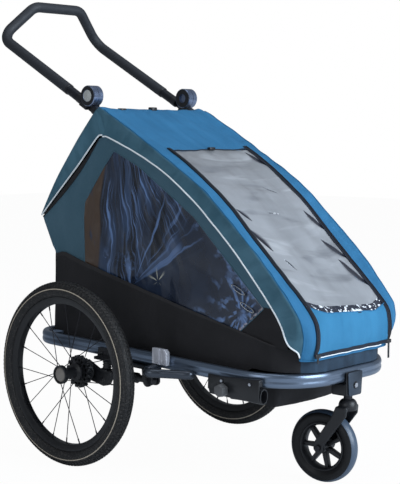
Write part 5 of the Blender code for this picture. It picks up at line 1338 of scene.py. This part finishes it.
def crease_map(points):
    """How deep each point lies in a crease, for a painted shade; below nothing where the crease's sharp side
    has a painted glint.
    """
    x, s = points[..., 0], points[..., 2] * STEEPNESS
    deep = np.zeros(x.shape)
    for x0, z0, x1, z1, width in CREASES:
        run = np.array((x1 - x0, (z1 - z0) * STEEPNESS))
        along = np.clip(((x - x0) * run[0] + (s - z0 * STEEPNESS) * run[1]) / (run @ run), 0, 1)
        off_x, off_s = x - x0 - along * run[0], s - z0 * STEEPNESS - along * run[1]
        away = np.hypot(off_x, off_s) / (width * (0.30 + np.sin(along * math.pi)))
        soft = (off_x * run[1] - off_s * run[0]) * np.sign(x0 + x1) > 0
        deep = np.maximum(deep, np.exp(-((away / np.where(soft, 2.4, 0.7)) ** 2)))
        glint = np.where(soft, 0, np.exp(-(((away - 1.5) / 0.6) ** 2)))
        deep = np.where(deep < 0.15, np.minimum(deep, -glint), deep)
    return deep


film = film_sheet(lambda x: 0.8565, above_edge(-0.006), 250, FILM_COLUMNS, -0.0006)
calm = (1 - np.abs(np.linspace(-1, 1, FILM_COLUMNS)) ** 6)[None, :]
dents = crease_map(film)
film = wrinkled(film, 0.0045 * calm, 9.0, 21.0, (0.6, 1.2, 1.2))
film = wrinkled(film, 0.0016 * calm, 34.0, 5.0, (0.8, 1, 1))
film = lifted(film, -0.0030 * np.maximum(dents, 0)[..., None] * calm[..., None])
film = marked(grid_piece("front_film_sheet", placed(film, LEVEL), "front_film"), "crease", dents)
film = piece(thickened(film, FILM), "hoop", "clear_film", "front_window")
band = film_sheet(above_edge(0.0155), above_edge(-0.003), 14, FILM_COLUMNS, 0.0008)
band = sheet("film_band", wrinkled(band, 0.0012, 60.0, 3.0), "film_hem", FILM)
flap = film_sheet(lower_edge, lambda x: 0.3835, 40, 90, 0.0014)
flap = sheet("front_flap", wrinkled(flap, 0.0016, 26.0, 2.0, (1, 0.5, 0.5)), "flap_blue", LINING)
flap_edge = film_sheet(lower_edge, above_edge(-0.003), 2, 90, 0.0020)[0]
trim(flap, "hoop")
trim(tube("flap_seam", placed(flap_edge, LEVEL), 0.0012, "roof_blue"), "hoop")
trim(band, "hoop")


def ribbon(path, width, material, lift):
    """A flat band along a world path, its width along X, and the line of its middle."""
    up = np.cross(unit(np.gradient(path, axis=0)), (1.0, 0, 0))
    up *= outwards(up)
    spread = np.linspace(-width / 2, width / 2, 5)
    rows = [
        [point + way * (lift - 0.0016 * abs(s) / width) + (s, 0, 0) for s in spread]
        for point, way in zip(path, up)
    ]
    return thickened(grid_piece("ribbon", rows, material), 0.0009), path + up * lift


def plastic(name, centre, low, high, ease):
    """A small black block about a point."""
    return block(name, np.add(centre, low), np.add(centre, high), "black_plastic", ease)


parts = []
for (_, sign), pull in zip(SIDES, (0.044, 0.018)):
    path = CANOPY[WINDOW_TOP - 2:WINDOW_SILL + 1, ZIP_COLUMN if sign > 0 else COLUMNS - 1 - ZIP_COLUMN]
    tape, top = ribbon(placed(path - (sign * 0.004, 0, 0), LEVEL), 0.0155, "zip_tape", 0.0026)
    tooth = plastic("tooth", (0, 0, 0), (-0.0022, -0.0006, -0.0007), (0.0022, 0.0006, 0.0009), 0.0)
    foot = top[-1] + (0, -0.0010, 0)
    parts += [
        tape, along_line(tooth, top + (0, -0.0003, 0.0004), 0.0021, "black_plastic"),
        tube("coil", top + (sign * 0.0065, 0, 0.0004), 0.0013, "zip_tape"),
        plastic("slider", foot, (-0.0075, -0.0050, -0.005), (0.0125, 0.0010, 0.005), 0.0016),
        plastic("pull", foot, (-0.0036, -0.0056, -pull), (0.0036, -0.0030, -0.003), 0.0014),
    ]
sill, top = (placed(CANOPY[row, ACROSS], LEVEL) for row in (WINDOW_SILL, WINDOW_TOP))
middle = placed([(0.0, *CANOPY[WINDOW_TOP, COLUMNS // 2, 1:])], LEVEL)[0]
oval = ring(0.0046, 16, 0.40)[:, ::-1]
parts.append(tube("sill_zip", sill + (0, -0.0036, 0), oval, "zip_tape", up=(0, 0, 1)))
parts.append(tube("top_seam", top + (0, -0.0006, 0.0012), 0.0016, "zip_tape"))
parts.append(plastic("toggle", middle, (-0.011, -0.008, 0.001), (0.011, 0.004, 0.009), 0.002))
zips = trim(joined("zips", parts), "hoop")
print("zips", len(zips.data.polygons), "faces")

# %% [markdown]
# ## Piping
#
# A cord sewn into an edge. Thin tubes along the sheet's own borders stay on it wherever it bends.

# %% Piping and seams on the canopy
parts = []
for _, sign in SIDES:
    edge, ridge = (0, SKIRT + 1) if sign > 0 else (COLUMNS - 1, COLUMNS - 2 - SKIRT)
    edge = resampled(CANOPY[:, edge] + (sign * 0.0006, 0, 0), 220)
    ridge = resampled(CANOPY[4:, ridge] + (sign * 0.0006, 0, 0.0004), 200)
    parts.append(tube("piping", placed(edge, LEVEL), 0.0021, "piping_silver"))
    parts.append(tube("ridge", placed(ridge, LEVEL), 0.0014, "roof_blue"))
parts.append(tube("hem", placed(CANOPY[-1, SKIRT - 2:COLUMNS + 2 - SKIRT], LEVEL), 0.0020, "roof_blue"))
silver = CANOPY[-2] + (0, -0.0030, 0.0008)
silver = silver[(silver[:, 0] > -0.150) & (silver[:, 0] < 0.127)]
parts.append(tube("nose_piping", placed(silver, LEVEL), 0.0019, "piping_silver"))
for x, tall in ((-0.122, 0.9645), (0.0, 0.9690)):
    tab = plastic("tab", (x, 0, 0), (-0.010, 0.012, 0.9560), (0.010, 0.030, tall), 0.0025)
    parts.append(moved(tab, LEVEL))
trim(joined("canopy_trims", parts), "hoop")

# %% [markdown]
# ## Rear cover
#
# The cover joins the roof to the rear frame. It takes the place of the imported cover.

# %% Rear cover
def rear_cover_points(rows=60):
    """The cover from the roof's rear edge down, with a tuck under the roof."""
    edge, piping = smooth_line(REAR_EDGE, rows), smooth_line(REAR_PIPING, rows) + (0.003, 0.0035)
    out = []
    for e, p in zip(edge, piping):
        half = [(SIDE_X, *(p + (e - p) * k)) for k in np.linspace(0, 0.88, 9)]
        half += [(0.2070, *(p + (e - p) * 0.96)), (0.2026, *e), (0.192, *e)]
        out.append(both_sides(half + [(x, *e) for x in np.linspace(0.180, 0, 14)]))
    tuck = out[0] * (0.988, 1, 1)
    return np.array([tuck + (0, -0.0120, 0.0010), tuck + (0, -0.0060, 0.0006), *out])


cover = rear_cover_points()
sag = np.sin(np.linspace(0, math.pi, cover.shape[0]))[:, None] * (np.abs(cover[..., 0]) < 0.195)
cover[..., 1] -= 0.0030 * sag * np.cos(cover[..., 0] / 0.39 * math.pi)
points = wrinkled(cover, 0.0018, 14.0, 12.0, (1, 0.6, 0.6))
cover = sheet("rear_flap", points, "skirt_teal", CLOTH)
parts = []
for out, radius, material, first, last in (
    ((0.0008, 0, 0), 0.0021, "piping_silver", 0, -1),
    ((0.0004, 0.0006, 0.0004), 0.0012, "skirt_teal", 10, -11),
):
    for column, mirror in ((first, 1), (last, -1)):
        line = resampled(points[2:, column] + np.multiply(out, (mirror, 1, 1)), 90)
        parts.append(tube("rear_line", placed(line, LEVEL), radius, material))
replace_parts(cover, "rear_cover")
rear_trim = joined("rear_trim", parts)
for item in (cover, rear_trim):
    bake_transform(item)

# %% [markdown]
# ## Side walls
#
# A wall is drawn as rings about one point: the inner rings fill the tinted window, the outer ones
# reach the piping, the belly and the tub. So the film's edge is crisp and both share their cloth.

# %% Side walls with their windows
def ray_reach(outline, centre, angles):
    """Distance from the centre to an outline in each direction."""
    a = np.asarray(outline, float) - centre
    b = np.roll(a, -1, 0)
    reach = np.zeros(len(angles))
    for k, ray in enumerate(zip(np.cos(angles), np.sin(angles))):
        turn_a, turn_b = (ray[0] * end[:, 1] - ray[1] * end[:, 0] for end in (a, b))
        hit = (turn_a <= 0) != (turn_b <= 0)
        share = turn_a / np.where(hit, turn_a - turn_b, 1)
        distance = ((a + (b - a) * share[:, None]) @ ray)[hit]
        reach[k] = distance[distance > 0].max() if (distance > 0).any() else 0
    return reach


CENTRE = np.array((-0.200, 0.620))
OUTER = np.array([
    (0.1912, 0.5500), (0.1970, 0.5560), (0.2100, 0.5760), (0.2440, 0.6360), *REAR_PIPING[::-1],
    *FRONT_PIPING[1:-3], (-0.6490, 0.4180), (-0.6520, 0.4020), (-0.6450, 0.3900), (-0.5420, 0.4020),
    (-0.4921, 0.4087), (-0.2484, 0.4560), (0.0738, 0.5262), (0.1578, 0.5440),
])


def window_edge(count=380):
    """Window outline with its corners kept, evenly filled between them."""
    start = np.array(SIDE_WINDOW)
    run = np.roll(start, -1, 0) - start
    lengths = np.linalg.norm(run, axis=1)
    steps = np.maximum((count * lengths / lengths.sum()).astype(int), 2)
    return np.concatenate([
        a + b * np.linspace(0, 1, n, endpoint=False)[:, None] for a, b, n in zip(start, run, steps)
    ])


def noise_at(y, z, *scale):
    """Smooth noise over side-view points."""
    return np.vectorize(lambda a, b: noise.noise(Vector((a * scale[0], b * scale[1], scale[2]))))(y, z)


def side_wall(side, sign):
    """Rings about the centre: 64 fill the window, 11 more reach the wall's outline."""
    rim = window_edge()
    angles = np.arctan2(*(rim - CENTRE).T[::-1])
    inner = np.linalg.norm(rim - CENTRE, axis=1)
    outer = np.maximum(ray_reach(OUTER, CENTRE, angles), inner + 0.0015)
    rings = [np.linspace(0.002, 1, 64)[:, None] * inner,
             inner + np.linspace(0, 1, 12)[1:, None] * (outer - inner)]
    reach = np.concatenate(rings)
    y, z = CENTRE[0] + reach * np.cos(angles), CENTRE[1] + reach * np.sin(angles)
    glass = np.clip(1 - reach / inner, 0, 1) ** 0.5
    fold = np.sin((y + 0.02) / (1.02 - z) * 46 + 3 * noise_at(y, z, 9, 5, 3))
    rear = np.clip((y + 0.32) / 0.12, 0, 1)
    swell = noise_at(y, z, 7, 7, 9)
    x = 0.2046 - glass * (0.0030 + 0.0012 * fold * rear + 0.004 * swell) + 0.0006 * swell
    glass_rows, low_front = len(rings[0]) - 1, (z < 0.487) & (y < 0.066)
    made = grid_piece(
        f"side_wall_{side}", placed(np.stack([sign * x, y, z], 2), LEVEL),
        ("side_film", "side_teal", "tub_black"), (False, True), uv=np.stack([y, z], 2),
        zones=lambda i, j: np.where(i < glass_rows, 0, np.where(low_front[i, j], 2, 1)),
    )
    made = thickened(marked(made, "rim", np.maximum(inner - reach, 0)), 0.0009)
    piece(made, "base", "panel_fabric", f"side_panel_{side}", f"side_window_{side}")
    return made, placed(side_view(rim, sign * 0.2052), LEVEL)


def elastic_loop(y, z, sign):
    """A flat loop of elastic drawn lying on the film; its bright inner edge is a thin silver ring, a painted
    glint.
    """
    oval = ring(1.0, 40) * (0.0250, 0.0058) @ np.array(Matrix.Rotation(math.radians(24), 2)).T
    return [
        tube("loop", placed(side_view(oval * scale + (y, z), sign * x), LEVEL), thick, material, True)
        for scale, x, thick, material in
        ((1, 0.2072, 0.0011, "black_plastic"), (0.93, 0.2079, 0.0004, "piping_silver"))
    ]


walls, seams = [], []
for side, sign in SIDES:
    wall, rim = side_wall(side, sign)
    walls.append(wall)
    hinge_line = smooth_line(REAR_PIPING[1:], 40) - (0.001, 0.001)
    drop = np.array((-0.62, -0.78)) * 0.0135 * np.sin(np.linspace(0.12, 3.0, 40))[:, None]
    # A thin black sheet just below the rear piping: painted shade under the edge of the rear cover, which
    # stands off there.
    piping_shade = [side_view([a, a + b * 0.5, a + b], sign * 0.2072) for a, b in zip(hinge_line, drop)]
    parts = [
        tube(f"window_seam_{side}", resampled(rim, 300), 0.0012, "side_teal", True),
        sheet(f"gusset_{side}", piping_shade, "tub_black", LINING),
        *elastic_loop(-0.489, 0.522, sign), *elastic_loop(-0.520, 0.481, sign),
    ]
    seams.append(trim(joined(f"side_trim_{side}", parts), "base"))
print("side wall", len(walls[0].data.polygons), "faces")

# %% [markdown]
# ## Tub
#
# The black wall is one band of cloth from flank to flank round the nose. Each point of its plan is
# raised between two side-view lines, and noise gives it the slack of unlined canvas.

# %% Rear panel and tub
def tub_route(face=0.2094, corner=0.120, nose_y=-0.690, rear_y=0.190):
    """Plan of the tub: along one side, round the nose and back."""
    flank = [(face, y) for y in np.linspace(rear_y, nose_y + corner, 60)]
    bend = arc((face - corner, nose_y + corner), corner, 360, 270, 18)
    front = [(x, nose_y) for x in np.linspace(face - corner, corner - face, 24)][1:-1]
    other = arc((corner - face, nose_y + corner), corner, 270, 180, 18)
    return np.array([*flank, *bend[1:], *front, *other, *[(-face, y) for _, y in flank[::-1]][1:]])


def on_line(line, y):
    return np.interp(y, *np.array(sorted(line)).T)


plan = tub_route()
low, high = on_line(TUB_BOTTOM, plan[:, 1]), on_line(TUB_EDGE, plan[:, 1])
levels = np.concatenate([np.linspace(0, 0.93, 20), [0.95, 0.975, 1.0]])
tub = np.stack([np.insert(plan, 2, low + (high - low) * k, 1) for k in levels])
tub = wrinkled(tub, 0.0040, 11.0, 6.0, (1, 1.2, 0.8))
tub = wrinkled(tub, 0.0014, 40.0, 2.0, (1, 1, 0.5))
tub[..., 0] *= np.minimum(1, 0.2106 / np.maximum(np.abs(tub[..., 0]), 1e-6))


def tub_zones(i, j):
    """The navy nose panel, the hem and the black wall."""
    x, y = plan[j % len(plan)].T
    return np.where((y < -0.655) & (np.abs(x) < 0.166), 2, np.where(i >= 20, 1, 0))


tub_cloth = sheet("tub_cloth", tub, ("tub_black", "hem_black", "nose_navy"), CANVAS, zones=tub_zones)
piece(tub_cloth, "base", "tub_fabric", "tub_walls")
panel_line = smooth_line(BELLY_EDGE, 40)
rear = np.array([[(x, *point) for x in np.linspace(0.2012, -0.2012, 21)] for point in panel_line])
rear_cloth = sheet("rear_cloth", wrinkled(rear, 0.0016, 12.0, 4.0), ("side_teal", "tub_black"), 0.0014,
                   zones=lambda i, j: (panel_line[i, 1] < 0.548).astype(int))
piece(rear_cloth, "base", "panel_fabric", "rear_panel")
# Each of these cloth pieces gets a mesh of its own.
for cloth in (*walls, *seams, tub_cloth, rear_cloth):
    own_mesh(cloth)

# %% [markdown]
# ## Floor
#
# A flat sheet on the rail whose middle drops into a footwell. Soft steps in height do for both ends.

# %% Floor with its sunken footwell
SEAT_PIVOT, WELL_HALF, WELL_FRONT, WELL_DEPTH = (0.100, 0.375), 0.151, -0.585, 0.074


def floor_points():
    """A flat floor whose middle drops into the footwell and whose front follows the nose."""
    edge = np.concatenate([np.linspace(0.2262, 0.156, 6), np.linspace(0.152, 0.130, 6)])
    x = np.concatenate([-edge, np.linspace(-0.11, 0.11, 12), edge[::-1]])
    y = np.concatenate([
        np.linspace(0.163, -0.32, 18), np.linspace(-0.338, -0.362, 8), np.linspace(-0.39, -0.545, 9),
        np.linspace(-0.560, -0.590, 8), [-0.605, -0.630, -0.661],
    ])
    y, x = np.meshgrid(y, x, indexing="ij")
    wide = np.clip((WELL_HALF - np.abs(x)) / 0.014, 0, 1)
    long = np.clip((-0.340 - y) / 0.018, 0, 1) * np.clip((y - WELL_FRONT) / 0.022, 0, 1)
    sag = 0.006 * np.maximum(0, 1 - (x / 0.145) ** 2)
    into = np.maximum(-0.529 - y, 0)
    reach = 0.080 + np.sqrt(np.maximum(0.147 ** 2 - into ** 2, 0.0001))
    outside = (np.abs(x) > WELL_HALF) | (y < WELL_FRONT)
    z = 0.3000 - (WELL_DEPTH + sag) * wide * long
    return np.stack([np.where(outside, x * reach / 0.227, x), y, z], 2)


floor = sheet("floor_cloth", wrinkled(floor_points(), 0.0014, 20.0, 1.0), "tub_black", CANVAS)
ears = []
for _, sign in SIDES:
    ear = [(0.080, 0.2990), (0.120, 0.2990), *arc(SEAT_PIVOT, 0.011, 0, 180, 14)]
    ears.append(prism("seat_ear", ear, *sorted((sign * 0.1530, sign * 0.1565)), "black_plastic", 0.0006))
    ends = ((sign * x, *SEAT_PIVOT) for x in (0.1440, 0.1550))
    ears.append(rod("seat_pin", *ends, 0.004, "plated_steel"))
piece(floor, "base", "tub_fabric", "floor_pan")
trim(joined("seat_ears", ears, LEVEL), "base")

# %% [markdown]
# ## Seat
#
# Cushions are quilted: sewn channels pull the cover down between rolls of filling. The shape is the
# product of a crowned outline and the channels, with small puckers beside each row of stitches.

# %% Seat cushion, seat back and harness
def pad_points(half_width, length, thickness, channels, matrix):
    """The quilted face of a cushion and, below it, its flat back."""
    u, v = np.meshgrid(np.linspace(-1, 1, 60), np.linspace(-1, 1, 90), indexing="xy")
    crown = (1 - np.abs(u) ** 5) * (1 - np.abs(v) ** 7)
    roll = np.abs(np.sin(np.pi * (v + 1) / 2 * (channels + 1))) ** 0.6
    pucker = 0.0006 * np.sin(u * 70) * (1 - roll)
    top = thickness * 0.42 + thickness * 0.50 * crown ** 0.5 * (0.62 + 0.38 * roll) + pucker * crown
    x = half_width * u * (1 - 0.03 * (1 - v * v) * np.abs(u) ** 3)
    y = length / 2 * v * (1 - 0.02 * (1 - u * u) * np.abs(v) ** 3)
    flat = np.stack([x * 0.985, y * 0.985, np.full_like(x, 0.0006)], 2)
    return placed(np.stack([x, y, top], 2), matrix), placed(flat, matrix)


def round_rim(grid):
    """The outer points of a grid, in order."""
    return [*grid[0], *grid[1:, -1], *grid[-1, -2::-1], *grid[-2:0:-1, 0]]


def pad_piece(name, *shape):
    """A closed cushion: face, back and the border between them."""
    up, down = pad_points(*shape)
    face, back = grid_piece(name, up, "seat_cloth"), grid_piece("back", down, "seat_cloth")
    border = grid_piece("border", [round_rim(up), round_rim(down)], "seat_cloth", (False, True))
    return tidy(joined(name, [face, back, border]), 50, 1e-6)


cushion = pad_piece("seat_pad", 0.146, 0.330, 0.0280, 4, LEVEL @ Matrix.Translation((0, -0.130, 0.3006)))
piece(cushion, "base", "seat_fabric", "seat_cushion")
BACK = LEVEL @ Matrix.Translation((0, *SEAT_PIVOT)) @ Matrix.Rotation(math.radians(86), 4, "X")
back_pad = pad_piece("back_pad", 0.143, 0.346, 0.0260, 5, BACK @ Matrix.Translation((0, 0.206, 0.0023)))
piece(back_pad, "seat_back", "seat_fabric", "seat_back_cushion")
BUCKLE, straps = np.array((0.0, 0.130)), []
for end in ((0.0, 0.040), (0.060, 0.330), (-0.060, 0.330), (0.120, 0.090), (-0.120, 0.090)):
    run = unit(end - BUCKLE)
    side = np.array((-run[1], run[0]))
    rows = [
        [(*(point + side * s), 0.0300) for s in np.linspace(-0.0125, 0.0125, 7)]
        for point in np.linspace(BUCKLE, end, 30)
    ]
    straps.append(thickened(grid_piece("strap", placed(rows, BACK), "webbing"), CANVAS))
piece(joined("harness_straps", straps), "seat_back", "tub_fabric", "harness")

# %% [markdown]
# ## Soft pieces
#
# For each sheet a flat cut is worked out, the area of one face fitted inside a given rectangle, and
# its size before sewing is printed.

def declare(obj, width, length):
    """A sewn sheet: its cut has the area of one face, fitted inside a rectangle."""
    area = sum(face.area for face in obj.data.polygons) / 2
    grow = max(1.0, area / (width * length)) ** 0.5 * 1.001
    width, length = width * grow, length * grow
    max(area, 0.31 * width * length)
    print(f"{obj.name}: {width:.3f} x {length:.3f} m, {area:.4f} m2")


for obj, width, length in (
    (canopy, 0.76, 1.12), (film, 0.32, 0.60), (flap, 0.32, 0.12), (band, 0.32, 0.02), (cover, 0.66, 0.40),
    *((wall, 0.90, 0.50) for wall in walls), (tub_cloth, 1.95, 0.22), (rear_cloth, 0.42, 0.34),
    (floor, 0.46, 0.90),
):
    declare(obj, width, length)

# %% [markdown]
# ## Stage
#
# The photograph was cut out on white. A pale floor and a white surround repeat that. A broad window to
# the front left lights the roof, and a softer one fills the near side.

# %% Camera, floor and light
def area_light(name, place, aim, size, power, colour):
    light = bpy.data.lights.new(name, "AREA")
    light.shape, light.size, light.size_y = "RECTANGLE", *size
    light.energy, light.color = power, colour
    lamp = linked(name, light)
    lamp.location = place
    lamp.rotation_euler = (Vector(aim) - Vector(place)).to_track_quat("-Z", "Y").to_euler()
    return lamp


def surround():
    """White to the camera, a cooler and dimmer sky to everything else."""
    world = bpy.data.worlds.new("surround")
    bpy.context.scene.world = world
    world.use_nodes = True
    graph = Graph(world.node_tree)
    back = world.node_tree.nodes["Background"]
    seen = graph.add("ShaderNodeLightPath", output="Is Camera Ray")
    graph.feed(back.inputs["Color"], graph.mix(seen, (0.80, 0.86, 0.94), (1, 1, 1)))
    graph.feed(back.inputs["Strength"], seen * 0.74 + 0.26)


def ground():
    made = bpy.data.materials.new("pale_floor")
    made.use_nodes = True
    graph = Graph(made.node_tree)
    seen = graph.add("ShaderNodeLightPath", output="Is Camera Ray")
    glow = graph.add("ShaderNodeEmission", {"Color": (1, 1, 1), "Strength": 1.0})
    dull = graph.add("ShaderNodeBsdfDiffuse", {"Color": (0.80, 0.81, 0.83)})
    blend = graph.add("ShaderNodeMixShader", {0: seen * 0.97, 1: dull, 2: glow})
    graph.feed(made.node_tree.nodes["Material Output"].inputs["Surface"], blend)
    bpy.ops.mesh.primitive_plane_add(size=24, location=(0, 0, -0.0005))
    plane = bpy.context.object
    plane.name = "floor"
    plane.data.materials.append(made)
    return plane


surround()
camera = linked("camera", bpy.data.cameras.new("camera"))
camera.location = (-2.6532, -2.4331, 0.9013)
camera.rotation_euler = (math.radians(90 - 4.90), 0, math.radians(-48.0))
camera.data.lens, camera.data.sensor_width = 96.05, 36.0
bpy.context.scene.camera = camera
lamps = [
    area_light("window", (0.9, -5.2, 2.4), (0, -0.3, 0.5), (4.0, 3.2), 400.0, (0.80, 0.90, 1.0)),
    area_light("sky", (-0.2, -0.8, 4.4), (0, -0.1, 0.4), (3.0, 3.0), 50.0, (0.90, 0.95, 1.0)),
    area_light("fill", (-4.4, -0.6, 2.0), (0, 0, 0.5), (2.0, 2.4), 40.0, (0.90, 0.94, 1.0)),
]
ground()
bpy.context.scene.view_settings.view_transform = "Standard"
